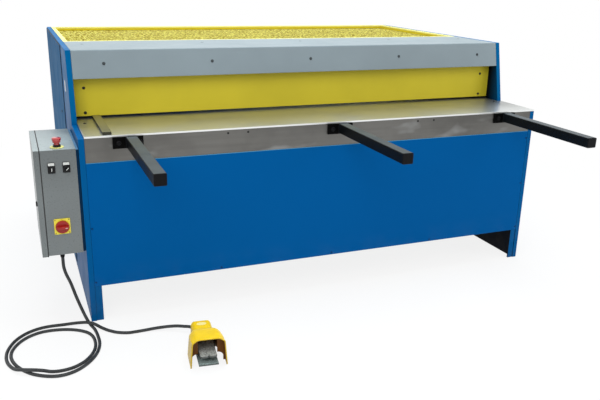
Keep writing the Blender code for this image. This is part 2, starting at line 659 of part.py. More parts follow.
def stop_button():
    """Yellow collar with a sleeve, and the mushroom button that slides in it."""
    x = CABINET_BACK - STOP_BUTTON_FROM_WALL
    y = CABINET_FRONT + STOP_BUTTON_INSET
    base = CABINET_TOP + SEAT
    sleeve_radius = STEM_RADIUS + COLLAR_THICKNESS
    sleeve_top = COLLAR_THICKNESS + SLEEVE_HEIGHT
    profile = [(0, 0), (COLLAR_RADIUS, 0), (COLLAR_RADIUS, COLLAR_THICKNESS),
               (sleeve_radius, COLLAR_THICKNESS), (sleeve_radius, sleeve_top), (0, sleeve_top)]
    collar = turned("stop_button_collar", profile, (x, y, base), (0, 0, 1), 28)
    bore = drum("bore", (x, y, base + COLLAR_THICKNESS), (0, 0, 1), STEM_RADIUS,
                SLEEVE_HEIGHT + OVERRUN, 28)
    finish(cut(collar, bore), "yellow_plastic")
    foot = base + COLLAR_THICKNESS + STOP_TRAVEL + SEAT
    head = base + COLLAR_THICKNESS + HEAD_LIFT
    crown = head + HEAD_THICKNESS
    stem = STEM_RADIUS - STEM_PLAY
    profile = [(0, foot), (stem, foot), (stem, head)]
    profile += quarter(HEAD_RADIUS, head, HEAD_ROUND, -90)
    profile += quarter(HEAD_RADIUS, crown, HEAD_ROUND * 2, 0) + [(0, crown)]
    finish(turned("stop_button", profile, (x, y, 0), (0, 0, 1), 28), "red_plastic", (x, y, head))


def selector(name, x, angle):
    """Rotary switch: a plate with its round body, and the knob with a raised grip."""
    front, level = CABINET_FRONT - SEAT, CABINET_TOP - SELECTOR_DROP
    middle = level + SELECTOR_LABEL_RISE
    half_width, half_height = SELECTOR_PLATE_WIDTH / 2, SELECTOR_PLATE_HEIGHT / 2
    outline = rounded((x - half_width, middle - half_height), (x + half_width, middle + half_height),
                      SELECTOR_PLATE_CORNER)
    plate = prism(name + "_selector_plate", outline, "Y", front - SELECTOR_PLATE, front)
    ring = drum("ring", (x, front, level), (0, -1, 0), SELECTOR_BODY_RADIUS,
                SELECTOR_PLATE + SELECTOR_BODY, 24)
    finish(fuse(plate, ring), "black_plastic")
    seat = front - SELECTOR_PLATE - SELECTOR_BODY - GAP
    knob = drum(name + "_selector_knob", (x, seat, level), (0, -1, 0), KNOB_RADIUS, KNOB_DEPTH, 24)
    grip_reach = KNOB_RADIUS - KNOB_GRIP_INSET
    grip_front = seat - KNOB_DEPTH - KNOB_GRIP_DEPTH
    fuse(knob, block("grip", (x - KNOB_GRIP_WIDTH / 2, grip_front, level - grip_reach),
                     (x + KNOB_GRIP_WIDTH / 2, seat - KNOB_DEPTH / 2, level + grip_reach)))
    finish(knob, "black_plastic", (x, seat, level))
    knob.data.transform(Matrix.Rotation(math.radians(angle), 4, "Y"))


def main_switch():
    """Yellow plate and the red dial with its grip bar."""
    front = CABINET_FRONT - SEAT
    x, level = CABINET_BACK - MAIN_SWITCH_FROM_WALL, CABINET_BOTTOM + MAIN_SWITCH_RISE
    outline = rounded((x - MAIN_PLATE_WIDTH / 2, level - MAIN_PLATE_HEIGHT / 2),
                      (x + MAIN_PLATE_WIDTH / 2, level + MAIN_PLATE_HEIGHT / 2), MAIN_PLATE_CORNER)
    finish(prism("main_switch_plate", outline, "Y", front - MAIN_PLATE, front), "yellow_plastic")
    seat = front - MAIN_PLATE - GAP
    profile = [(0, 0), (MAIN_DIAL_RADIUS, 0), (MAIN_DIAL_RADIUS, MAIN_DIAL - MAIN_DIAL_CHAMFER),
               (MAIN_DIAL_RADIUS - MAIN_DIAL_CHAMFER, MAIN_DIAL), (0, MAIN_DIAL)]
    dial = turned("main_switch_handle", profile, (x, seat, level), (0, -1, 0), 32)
    grip_outline = rounded((x - MAIN_GRIP_LENGTH / 2, level - MAIN_GRIP_WIDTH / 2),
                           (x + MAIN_GRIP_LENGTH / 2, level + MAIN_GRIP_WIDTH / 2), MAIN_GRIP_CORNER)
    grip = prism("grip", grip_outline, "Y", seat - MAIN_DIAL - MAIN_GRIP_DEPTH, seat - MAIN_DIAL / 2)
    finish(fuse(dial, grip), "red_plastic", (x, seat, level))


def gland(name, centre, axis, radius, nut, length):
    """Nut of a cable gland with its tapered strain relief."""
    tip = CABLE_DIAMETER / 2 + GLAND_TIP_WALL
    profile = [(0, 0), (radius, 0), (radius, nut), ((radius + tip) / 2, nut), (tip, length), (0, length)]
    return finish(turned(name, profile, centre, axis, 20), "black_plastic")


def cabinet_gland():
    x, y, top = CABINET_BACK - GLAND_FROM_WALL, CABINET_FRONT + GLAND_INSET, CABINET_BOTTOM - SEAT
    gland("cabinet_gland", (x, y, top), (0, 0, -1), GLAND_RADIUS, GLAND_NUT, GLAND_LENGTH)
    return Vector((x, y, top - GLAND_LENGTH - SEAT))


# Sections of the hood from its mouth to its neck: distance from the front edge, half
# widths and heights of the foot, the shoulder and the crown
HOOD_FORM = (
    (0.000, 0.075, 0.067, 0.109, 0.045, 0.1245),
    (0.050, 0.075, 0.068, 0.102, 0.049, 0.119),
    (0.115, 0.074, 0.066, 0.089, 0.048, 0.108),
    (0.145, 0.059, 0.054, 0.079, 0.041, 0.096),
    (NECK_START, NECK_HALF_WIDTH, NECK_HALF_WIDTH, NECK_SHOULDER,
     NECK_HALF_WIDTH - NECK_CROWN_INSET, NECK_HEIGHT),
    (HOOD_LENGTH, NECK_HALF_WIDTH, NECK_HALF_WIDTH, NECK_SHOULDER,
     NECK_HALF_WIDTH - NECK_CROWN_INSET, NECK_HEIGHT),
)


def hood_section(y, foot, shoulder, shoulder_z, crown, crown_z, inset=0.0, floor=0.0):
    slope_inset = inset * HOOD_CORNER_SHARE
    half = [(foot - inset, floor), (shoulder - inset, shoulder_z - slope_inset),
            (crown - slope_inset, crown_z - inset)]
    right = [(x, y, z) for x, z in half]
    left = [(-x, y, z) for x, z in reversed(half)]
    return right + left


def hood_rows(inset=0.0, floor=0.0):
    return [hood_section(y, *shape, inset=inset, floor=floor) for y, *shape in HOOD_FORM]


def foot_switch_hood():
    """Lofted shell, open at the front and below, with an arched web at each side of the treadle."""
    hood = loft("foot_switch_hood", hood_rows())
    rows = hood_rows(HOOD_SHEET, -OVERRUN)
    rows[0] = [(x, -OVERRUN, z) for x, y, z in rows[0]]
    rows[-1] = [(x, HOOD_LENGTH - HOOD_SHEET, z) for x, y, z in rows[-1]]
    cut(hood, loft("inside", rows))
    widest, top = HOOD_FORM[0][1], HOOD_FORM[0][-1]
    web = block("web", (-widest, WEB_Y, 0.0), (widest, WEB_Y + HOOD_SHEET, top))
    combine(web, [loft("filler", hood_rows(HOOD_SHEET / 2))], "INTERSECT")
    side = BASE_HALF_WIDTH + WEB_CLEARANCE
    right = [(side, top + OVERRUN)]
    for step in range(ARCH_STEPS + 1):
        angle = math.radians(90 * step / ARCH_STEPS)
        right.append((side + ARCH_REACH * math.sin(angle), ARCH_FOOT + ARCH_RISE * math.cos(angle)))
    right.append((side + ARCH_REACH, -OVERRUN))
    opening = right + [(-x, z) for x, z in reversed(right)]
    cut(web, prism("opening", opening, "Y", WEB_Y - OVERRUN, WEB_Y + HOOD_SHEET + OVERRUN))
    return finish(fuse(hood, web), "yellow_plastic")


def foot_switch_base():
    """Cast plate with a cheek at each side that carries the treadle's pin."""
    base = block("foot_switch_base", (-BASE_HALF_WIDTH, BASE_FRONT, 0.0),
                 (BASE_HALF_WIDTH, HOOD_LENGTH - HOOD_SHEET - GAP, BASE_PLATE))
    foot, top = BASE_PLATE / 2, TREADLE_PIVOT_Z + CHEEK_TOP_REACH
    front, rear = TREADLE_PIVOT_Y - CHEEK_REACH, TREADLE_PIVOT_Y + CHEEK_REACH
    outline = [(front, foot), (rear, foot), (rear, top), (TREADLE_PIVOT_Y - CHEEK_TOP_REACH, top)]
    for inner, outer in ((-BASE_HALF_WIDTH, BASE_WALL - BASE_HALF_WIDTH),
                         (BASE_HALF_WIDTH - BASE_WALL, BASE_HALF_WIDTH)):
        fuse(base, prism("cheek", outline, "X", inner, outer))
    return finish(base, "cast_aluminium")


def foot_switch_treadle():
    """Cast pedal with two rounded lobes in front, a hub and a pin in the base's cheeks."""
    rear = TREADLE_PIVOT_Y + CHEEK_TOP_REACH
    under, hub = TREADLE_LEVEL - TREADLE_SHEET, TREADLE_LEVEL - TREADLE_HUB
    outline = [
        (TREADLE_FRONT, under), (TREADLE_FRONT + TREADLE_NOSE, TREADLE_LEVEL),
        (rear, TREADLE_LEVEL + TREADLE_REAR_RISE), (rear, hub),
        (TREADLE_PIVOT_Y - TREADLE_HUB_DEPTH, hub), (TREADLE_PIVOT_Y - 2 * TREADLE_HUB_DEPTH, under),
    ]
    treadle = prism("foot_switch_treadle", outline, "X", -TREADLE_HALF_WIDTH, TREADLE_HALF_WIDTH)
    half = TREADLE_HALF_WIDTH / 2
    radius = half / math.sin(math.radians(TREADLE_LOBE_ANGLE))
    plan = []
    for middle in (-half, half):
        for step in range(TREADLE_LOBE_STEPS + 1):
            angle = math.radians(TREADLE_LOBE_ANGLE) * (2 * step / TREADLE_LOBE_STEPS - 1)
            plan.append((middle + radius * math.sin(angle), TREADLE_FRONT + radius * (1 - math.cos(angle))))
    plan.pop(TREADLE_LOBE_STEPS)
    plan += [(TREADLE_HALF_WIDTH, rear), (-TREADLE_HALF_WIDTH, rear)]
    combine(treadle, [prism("lobes", plan, "Z", 0.0, TREADLE_LEVEL + OVERRUN)], "INTERSECT")
    pin_end = TREADLE_HALF_WIDTH + TREADLE_SIDE_GAP - GAP
    fuse(treadle, drum("pin", (-pin_end, TREADLE_PIVOT_Y, TREADLE_PIVOT_Z), (1, 0, 0),
                       TREADLE_PIN_RADIUS, 2 * pin_end, 16))
    return finish(treadle, "cast_aluminium", (0.0, TREADLE_PIVOT_Y, TREADLE_PIVOT_Z))


def foot_switch(place):
    """Hooded foot switch at its place on the floor; returns where the cable enters it."""
    gland_y = HOOD_LENGTH + SEAT
    relief = gland("foot_switch_gland", (FOOT_GLAND_X, gland_y, FOOT_GLAND_Z), (0, 1, 0),
                   FOOT_GLAND_RADIUS, FOOT_GLAND_NUT, FOOT_GLAND_LENGTH)
    for piece in (foot_switch_base(), foot_switch_hood(), foot_switch_treadle(), relief):
        piece.matrix_basis = place @ piece.matrix_basis
    return place @ Vector((FOOT_GLAND_X, gland_y + FOOT_GLAND_LENGTH + SEAT, FOOT_GLAND_Z))


def smooth_route(points, step):
    """Points along a smooth curve through the route, with its straight ends kept as they are."""
    dense = []
    for i in range(1, len(points) - 2):
        start, end = points[i], points[i + 1]
        reach = (end - start).length
        lead = (end - points[i - 1]).normalized() * reach / 3
        trail = (points[i + 2] - start).normalized() * reach / 3
        if i == 1:
            lead = (start - points[0]).normalized() * reach / 3
        if i == len(points) - 3:
            trail = (points[-1] - end).normalized() * reach / 3
        dense += interpolate_bezier(start, start + lead, end - trail, end, CABLE_SMOOTHNESS)[:-1]
    dense.append(points[-2])
    total = sum((b - a).length for a, b in zip(dense, dense[1:]))
    count = round(total / step)
    placed, walked, target = [dense[0]], 0.0, total / count
    for a, b in zip(dense, dense[1:]):
        span = (b - a).length
        while walked + span >= target and len(placed) < count:
            placed.append(a.lerp(b, (target - walked) / span))
            target += total / count
        walked += span
    ends = (points[1] - points[0]).length + (points[-1] - points[-2]).length
    return [points[0]] + placed + [dense[-1], points[-1]], total + ends


def cable(start, end, arrival):
    drop = Vector((0.0, 0.0, -CABLE_LEAD))
    route = [start, start + drop] + [Vector(point) for point in CABLE_ROUTE]
    route += [end + arrival * CABLE_ARRIVAL, end]
    points, length = smooth_route(route, CABLE_STEP)
    for point in points:
        point.z = max(point.z, CABLE_REST)
    curve = bpy.data.curves.new("foot_switch_cable", "CURVE")
    curve.dimensions = "3D"
    curve.bevel_depth = CABLE_DIAMETER / 2
    curve.bevel_resolution = 2
    curve.render_resolution_u = 0
    curve.use_fill_caps = True
    spline = curve.splines.new("POLY")
    spline.points.add(len(points) - 1)
    for target, point in zip(spline.points, points):
        target.co = (*point, 1.0)
    curve.materials.append(materials["cable_rubber"])
    tube = bpy.data.objects.new("foot_switch_cable", curve)
    bpy.context.scene.collection.objects.link(tube)
    print("cable length", round(length, 4), "points", len(points))


def centre_plan():
    """Move everything so that the origin is on the floor under the middle of the plan."""
    pieces = [piece for piece in bpy.context.scene.objects if piece.parent is None]
    anchor = bpy.data.objects.new("anchor", None)
    bpy.context.scene.collection.objects.link(anchor)
    for piece in pieces:
        piece.parent = anchor
    anchor.location = (-(LEFT_END + RIGHT_END) / 2, -(FRAME_DEPTH - ARM_REACH) / 2, 0.0)


def build():
    make_materials()
    side_frame("left_side_frame", 0.0, SIDE_PLATE)
    side_frame("right_side_frame", FRAME_SPAN, FRAME_SPAN - SIDE_PLATE)
    side_covers()
    panels()
    table()
    finger_plate()
    blades()
    top_cover()
    top_guard()
    support_arms()
    side_stop()
    control_cabinet()
    cabinet_door()
    stop_button()
    selector("left", CABINET_BACK - LEFT_SELECTOR_FROM_WALL, 0.0)
    selector("right", CABINET_BACK - RIGHT_SELECTOR_FROM_WALL, RIGHT_SELECTOR_TURN)
    main_switch()
    cable_start = cabinet_gland()
    place = Matrix.Translation((*SWITCH_PLACE, 0.0)) @ Matrix.Rotation(math.radians(SWITCH_YAW), 4, "Z")
    cable_end = foot_switch(place)
    cable(cable_start, cable_end, place.to_3x3() @ Vector((0, 1, 0)))
    centre_plan()


build()
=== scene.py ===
"""Looks of the electric shearing machine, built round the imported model."""
import math
from itertools import product

import bmesh
import bpy
from mathutils import Matrix, Vector
from mathutils.geometry import interpolate_bezier


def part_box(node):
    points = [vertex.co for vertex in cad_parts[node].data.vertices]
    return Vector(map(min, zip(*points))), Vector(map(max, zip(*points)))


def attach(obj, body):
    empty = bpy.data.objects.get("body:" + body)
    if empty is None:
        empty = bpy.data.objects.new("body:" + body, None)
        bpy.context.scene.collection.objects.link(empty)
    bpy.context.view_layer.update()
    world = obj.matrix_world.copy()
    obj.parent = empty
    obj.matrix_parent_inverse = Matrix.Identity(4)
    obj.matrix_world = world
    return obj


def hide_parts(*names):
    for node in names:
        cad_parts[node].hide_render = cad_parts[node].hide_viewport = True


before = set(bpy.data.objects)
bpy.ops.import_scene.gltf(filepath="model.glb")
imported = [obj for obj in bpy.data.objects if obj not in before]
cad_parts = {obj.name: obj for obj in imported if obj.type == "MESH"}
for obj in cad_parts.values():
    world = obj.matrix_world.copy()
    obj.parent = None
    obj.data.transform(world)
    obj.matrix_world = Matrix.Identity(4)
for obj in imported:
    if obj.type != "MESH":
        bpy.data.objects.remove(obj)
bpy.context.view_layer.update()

# Places are given as in the part's source: from the left side frame's outer face,
# the table's front edge and the floor
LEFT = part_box("left_side_frame")[0].x
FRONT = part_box("front_panel")[0].y
FRAME_SPAN = 2.36
PANEL_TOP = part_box("front_panel")[1].z
GUARD_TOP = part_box("top_guard_rim")[1].z
SEAT = 0.0003

# Camera
CAMERA_PLACE = (-0.2319, -2.9848, 1.5297)
CAMERA_ANGLES = (71.984, -1.3236, -22.1164)
FOCAL_PIXELS = 701.03
IMAGE_WIDTH = 600
SENSOR_WIDTH = 36.0

# Cable, with its route as the solids have it
CABLE_DIAMETER = 0.014
CABLE_LEAD = 0.035
CABLE_ARRIVAL = 0.004
CABLE_STEP = 0.01
CABLE_SMOOTHNESS = 24
CABLE_REST = CABLE_DIAMETER / 2 + SEAT
CABLE_ROUTE = (
    (-0.0915, 0.0480, 0.2350), (-0.0738, 0.0440, 0.1837), (-0.0560, 0.0340, 0.1192),
    (-0.0385, 0.0165, 0.0660), (-0.0240, -0.0050, 0.0290), (-0.0140, -0.0270, 0.0120),
    (-0.0065, -0.0520, 0.0073), (0.0036, -0.0932, 0.0073), (0.0092, -0.1599, 0.0073),
    (0.0080, -0.2258, 0.0073), (-0.0060, -0.2850, 0.0073), (-0.0276, -0.3309, 0.0073),
    (-0.0590, -0.3732, 0.0073), (-0.0937, -0.4040, 0.0073), (-0.1262, -0.4205, 0.0073),
    (-0.1575, -0.4270, 0.0073), (-0.1886, -0.4235, 0.0073), (-0.2204, -0.4105, 0.0073),
    (-0.2480, -0.3930, 0.0073), (-0.2700, -0.3745, 0.0073), (-0.2900, -0.3505, 0.0073),
    (-0.3105, -0.3200, 0.0073), (-0.3270, -0.2849, 0.0073), (-0.3385, -0.2460, 0.0073),
    (-0.3425, -0.2086, 0.0073), (-0.3375, -0.1690, 0.0073), (-0.3210, -0.1271, 0.0073),
    (-0.2950, -0.0885, 0.0073), (-0.2606, -0.0590, 0.0073), (-0.2189, -0.0410, 0.0073),
    (-0.1750, -0.0385, 0.0073), (-0.1286, -0.0462, 0.0073), (-0.0876, -0.0620, 0.0073),
    (-0.0520, -0.0860, 0.0073), (-0.0255, -0.1165, 0.0073), (-0.0115, -0.1549, 0.0073),
    (-0.0078, -0.2000, 0.0073), (-0.0115, -0.2442, 0.0073), (-0.0230, -0.2830, 0.0073),
    (-0.0405, -0.3180, 0.0073), (-0.0650, -0.3500, 0.0073), (-0.0944, -0.3735, 0.0073),
    (-0.1235, -0.3865, 0.0073), (-0.1583, -0.3915, 0.0073), (-0.1950, -0.3890, 0.0095),
    (-0.2290, -0.3835, 0.0185), (-0.2590, -0.3765, 0.0228), (-0.2830, -0.3670, 0.0228),
    (-0.3060, -0.3510, 0.0190), (-0.3270, -0.3270, 0.0110), (-0.3445, -0.2940, 0.0073),
    (-0.3562, -0.2573, 0.0073), (-0.3605, -0.2160, 0.0073), (-0.3565, -0.1690, 0.0073),
    (-0.3418, -0.1201, 0.0073), (-0.3177, -0.0735, 0.0073), (-0.2820, -0.0342, 0.0073),
    (-0.2363, -0.0074, 0.0073), (-0.1864, 0.0028, 0.0073), (-0.1215, -0.0030, 0.0085),
    (-0.0647, -0.0215, 0.0165), (-0.0200, -0.0460, 0.0230), (0.0060, -0.0680, 0.0215),
    (0.0300, -0.0925, 0.0130), (0.0603, -0.1225, 0.0073), (0.0914, -0.1510, 0.0073),
    (0.1362, -0.1706, 0.0073), (0.1723, -0.1725, 0.0073), (0.2085, -0.1740, 0.0085),
    (0.2444, -0.1784, 0.0120), (0.2799, -0.1862, 0.0160), (0.3151, -0.1975, 0.0200),
    (0.3456, -0.2120, 0.0235), (0.3714, -0.2292, 0.0255), (0.3962, -0.2446, 0.0262),
)

# Foot switch, placed and shaped as in the part's source: distance from its mouth, then
# half widths and heights of the foot, the shoulder and the crown
SWITCH_PLACE = (0.3995, -0.548)
SWITCH_YAW = -6.5
HOOD_LENGTH = 0.247
FOOT_GLAND_X = -0.026
FOOT_GLAND_Z = 0.026
FOOT_GLAND_LENGTH = 0.02
HOOD_SHEET = 0.003
HOOD_FORM = (
    (0.0, 0.075, 0.067, 0.109, 0.045, 0.1245),
    (0.05, 0.075, 0.068, 0.102, 0.049, 0.119),
    (0.115, 0.074, 0.066, 0.089, 0.048, 0.108),
    (0.145, 0.059, 0.054, 0.079, 0.041, 0.096),
    (0.172, 0.044, 0.044, 0.067, 0.034, 0.082),
    (0.247, 0.044, 0.044, 0.067, 0.034, 0.082),
)
HOOD_CUT = 0.007
HOOD_CUT_STEPS = 6
HOOD_STEPS = 24
# Rolled lip: distance from the mouth, and how far its outer and inner skins lie inside the form
HOOD_LIP = ((0.0, -0.0002, 0.0032), (0.0006, -0.001, 0.004), (0.0022, -0.0014, 0.0044),
            (0.004, -0.001, 0.004), (0.0052, 0.0, 0.003))
HOOD_REAR = ((0.0035, 0.0006), (0.0016, 0.002), (0.0004, 0.004), (0.0, 0.0055))
HOOD_LABEL_Y = 0.215
WEB_Y = 0.041
WEB_SIDE = 0.0395
WEB_ARCH = (0.0248, 0.0195, 0.0195)

# Diamonds of the guard's expanded metal
DIAMOND_LONG = 0.03
DIAMOND_SHORT = 0.0125
STRAND = 0.0026
STRAND_SHEET = 0.0012
STRAND_TILT = 0.0008

# Width of the soft edges of the solids
SOLID_EDGE = 0.0012

# Directions that pieces face
TO_FRONT = (0.0, -1.0, 0.0)
TO_REAR = (0.0, 1.0, 0.0)
UP = (0.0, 0.0, 1.0)
DOWN = (0.0, 0.0, -1.0)
TO_LEFT = (-1.0, 0.0, 0.0)
TO_RIGHT = (1.0, 0.0, 0.0)

# Where fasteners sit: X and height on the front and rear, Y and height on the sides, X and Y on top
COVER_SCREWS = (0.165, 0.674, 1.19, 1.703, 2.206)
COVER_SCREW_Z = 1.112
THROAT_LEAN = math.atan2(0.072, 0.3274)
PLATE_SCREWS = ((0.0735, 2.2765), (0.88, 0.996))
PANEL_SCREWS = ((0.031, 0.19), (0.031, 0.445), (2.328, 0.19), (2.328, 0.445), (2.328, 0.701),
                (0.611, 0.182), (1.187, 0.182), (1.763, 0.182))
REAR_SCREWS = ((0.04, 0.8, 1.56, 2.32), (0.19, 0.67, 1.15))
SIDE_SCREWS = ((0.66, 0.887, 1.237, 1.587), (0.06, 1.15))
SIDE_MIDDLE_SCREWS = ((0.66, 1.672), (0.605,))
GUARD_SCREWS = ((0.0354, 2.3246), (0.834, 1.202, 1.57))
FLANGE_SCREWS = ((0.1, 0.696, 1.243, 1.79, 2.26), (0.62,))
TABLE_SCREWS = ((0.056, 2.304), (0.277,))
FACE_HOLES = ((0.649, 0.744, 1.638, 1.731), (0.832,))

# Weld beads round the arms, and how far the outer bolts stand from the middle of their lugs
ARM_CORNER = 0.004
WELD_STEP = 0.0022
WELD_RADIUS = 0.0021
WELD_RIPPLE = 0.0005
BOLT_SHIFT = 0.002

# Small fittings on the left side, in Y and height
FRAME_LABEL = (0.501, 0.992)
COVER_PLUG = (0.81, 0.815)

# Cabinet: its depth from front to rear, the door with its gasket, and the seal of the side covers
CABINET_DEPTH = 0.41
DOOR_THICKNESS = 0.025
GASKET_PROUD = 0.0005
GASKET_WRAP = 0.0026
GASKET_THICKNESS = 0.0012
MOUNT_THICKNESS = 0.0122
COVER_CORNER = 0.006
SEAL_WIDTH = 0.0026

# Depths of the stop button's head and of the selectors' knobs
STOP_HEAD = 0.023
KNOB_DEPTH = 0.017

# Main switch: its yellow face, and how far that lies above the handle's axis
SWITCH_FACE = (0.066, 0.069)
SWITCH_FACE_LIFT = 0.0015
SWITCH_SCREWS = ((-0.028, 0.028), (-0.0295, 0.0295))
MARKS = (("off_mark", "0", 0.0, 0.0328), ("on_mark", "1", 0.0318, 0.0))
MARK_SIZE = 0.0052

# Studio: name, place, width, power and colour of each lamp
LAMPS = (
    ("key_lamp", (-2.2, -3.6, 3.6), 3.0, 105.0, (1.0, 1.0, 1.0)),
    ("fill_lamp", (3.6, -3.2, 2.4), 3.0, 45.0, (1.0, 1.0, 1.0)),
    ("top_lamp", (0.2, 0.6, 4.6), 4.0, 230.0, (0.9, 1.0, 1.03)),
    ("rear_lamp", (0.5, 5.0, 3.0), 3.0, 70.0, (1.0, 1.0, 1.0)),
)
LAMP_AIM = (0.0, 0.0, 0.6)
AMBIENT = ((0.96, 0.98, 1.0, 1.0), 0.36)
WHITE = (1.0, 1.0, 1.0, 1.0)
FLOOR_REACH = 40.0
FLOOR_COLOUR = (0.9, 0.9, 0.9)


def spot(x, y, z):
    """A point of the machine's layout in the frame."""
    return Vector((LEFT + x, FRONT + y, z))


def centre(node):
    """The middle of a node's box."""
    low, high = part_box(node)
    return (low + high) / 2


SWITCH = (Matrix.Translation(spot(*SWITCH_PLACE, 0.0))
          @ Matrix.Rotation(math.radians(SWITCH_YAW), 4, "Z"))


class Graph:
    """Shorthand for the nodes of a material or of the world."""

    def __init__(self, owner):
        owner.use_nodes = True
        self.tree = owner.node_tree
        self.shader = self.tree.nodes.get("Principled BSDF")
        self.place = self.node("ShaderNodeTexCoord", {}).outputs["Object"]

    def node(self, kind, inputs, **settings):
        made = self.tree.nodes.new(kind)
        for key, value in settings.items():
            setattr(made, key, value)
        for key, value in inputs.items():
            self.feed(made.inputs[key], value)
        return made

    def feed(self, socket, value):
        if isinstance(value, bpy.types.NodeSocket):
            self.tree.links.new(value, socket)
        else:
            socket.default_value = value

    def noise(self, scale, detail, stretch=(1.0, 1.0, 1.0), shift=0.0):
        mapped = self.node("ShaderNodeMapping", {"Vector": self.place, "Scale": stretch,
                                                 "Location": (shift, shift, shift)})
        return self.node("ShaderNodeTexNoise", {"Vector": mapped.outputs[0], "Scale": scale,
                                                "Detail": detail}).outputs[0]

    def span(self, value, low, high, to_low=0.0, to_high=1.0):
        made = self.node("ShaderNodeMapRange", {"Value": value, "From Min": low, "From Max": high,
                                                "To Min": to_low, "To Max": to_high})
        return made.outputs[0]

    def maths(self, operation, first, second=0.0):
        return self.node("ShaderNodeMath", {0: first, 1: second}, operation=operation).outputs[0]

    def times(self, first, second):
        return self.maths("MULTIPLY", first, second)

    def most(self, first, *others):
        for other in others:
            first = self.maths("MAXIMUM", first, other)
        return first

    def axis(self, vector, name):
        return self.node("ShaderNodeSeparateXYZ", {0: vector}).outputs[name]

    def normal(self):
        return self.node("ShaderNodeNewGeometry", {}).outputs["Normal"]

    def blend(self, share, first, second):
        made = self.node("ShaderNodeMix", {"Factor": share}, data_type="RGBA")
        self.feed(made.inputs["A"], (*first, 1.0) if isinstance(first, tuple) else first)
        self.feed(made.inputs["B"], (*second, 1.0) if isinstance(second, tuple) else second)
        return made.outputs["Result"]

    def bump(self, height, strength, distance, normal=None):
        inputs = {"Height": height, "Strength": strength, "Distance": distance}
        if normal is not None:
            inputs["Normal"] = normal
        return self.node("ShaderNodeBump", inputs).outputs[0]

    def edges(self, radius):
        """1 along outer edges, where a rounded normal turns away from the true one."""
        rounded = self.node("ShaderNodeBevel", {"Radius": radius}, samples=4).outputs[0]
        turn = self.node("ShaderNodeVectorMath", {0: rounded, 1: self.normal()}, operation="DOT_PRODUCT")
        return self.span(turn.outputs["Value"], 0.97, 0.75)

    def level(self, low, high):
        """1 at the low level above the floor, falling to 0 at the high one."""
        return self.span(self.axis(self.place, "Z"), low, high, 1.0, 0.0)

    def facing_up(self, low=0.75, high=0.97):
        """1 on faces that look up, which the materials use to paint light on tops and shade on the other
        faces.
        """
        return self.span(self.axis(self.normal(), "Z"), low, high)

    def behind(self, low, high):
        """0 in front of the low distance from the table's front face, 1 behind the high one."""
        return self.span(self.axis(self.place, "Y"), FRONT + low, FRONT + high)

    def shade_between_frames(self):
        """1 on the side frames' inner faces below the table and behind the throat's opening, where the frames
        get painted shade.
        """
        middle = LEFT + FRAME_SPAN / 2
        inward = self.span(self.axis(self.place, "X"), middle - 0.01, middle + 0.01, 1.0, -1.0)
        inner = self.span(self.times(inward, self.axis(self.normal(), "X")), 0.5, 0.8)
        return self.times(inner, self.most(self.level(0.7, 0.84), self.behind(0.2, 0.38)))

    def finish(self, colour=None, roughness=None, normal=None, **fixed):
        for key, value in (("Base Color", colour), ("Roughness", roughness), ("Normal", normal)):
            if value is not None:
                value = (*value, 1.0) if isinstance(value, tuple) else value
                self.feed(self.shader.inputs[key], value)
        for key, value in fixed.items():
            self.shader.inputs[key.replace("_", " ")].default_value = value


# Materials under their names
MATERIALS = {}


def graph(name):
    """The graph of a new material, which is kept under its name."""
    MATERIALS[name] = bpy.data.materials.new(name)
    return Graph(MATERIALS[name])


def scaled(colour, share):
    return tuple(min(1.0, channel * share) for channel in colour)


def enamel(name, colour, roughness, specular, worn=(0.1, 0.24, 0.42), wear=0.45,
           dust=0.05, lit_top=None, below=None, inner_shade=None):
    """Sprayed enamel: slight clouding, orange peel, rubbed edges and dust near the floor. Where given, a
    lighter top, another colour below a height and a dark colour between the frames paint light and shade, and
    the default pale blue rub along the edges is partly a painted highlight.
    """
    g = graph(name)
    tone = g.blend(g.span(g.noise(3.0, 4.0), 0.3, 0.7), scaled(colour, 0.93), scaled(colour, 1.06))
    if below is not None:
        # Another colour below a height: painted shade low on the frames and on the guard rim's walls; on the
        # panel the colour above it is a painted highlight.
        lower, low, high = below
        tone = g.blend(g.level(low, high), tone, lower)
    patches = g.span(g.noise(45.0, 5.0, shift=3.0), 0.5, 0.68)
    # Rubbed edges in patches; the default pale blue rub is partly a painted highlight along the edges.
    tone = g.blend(g.times(g.edges(0.0022), g.times(patches, wear)), tone, worn)
    # Painted light: faces that look up take a lighter colour.
    if lit_top is not None:
        patches = g.span(g.noise(11.0, 5.0, shift=1.0), 0.2, 0.8, 0.7, 1.0)
        tone = g.blend(g.times(g.facing_up(), patches), tone, lit_top)
    # Painted shade: the frames' inner faces between them turn near black.
    if inner_shade is not None:
        tone = g.blend(g.shade_between_frames(), tone, inner_shade)
    patches = g.span(g.noise(14.0, 6.0, shift=8.0), 0.4, 0.72, 0.0, dust)
    settled = g.times(g.level(0.0, 0.28), patches)
    tone = g.blend(settled, tone, DUST)
    sheen = g.span(g.noise(9.0, 3.0, shift=5.0), 0.3, 0.7, roughness - 0.04, roughness + 0.05)
    sheen = g.maths("ADD", sheen, g.times(settled, 0.5))
    wavy = g.bump(g.noise(7.0, 1.0), 0.12, 0.004)
    peel = g.bump(g.noise(420.0, 2.0), 0.05, 0.0004, wavy)
    g.finish(tone, sheen, peel, Specular_IOR_Level=specular)


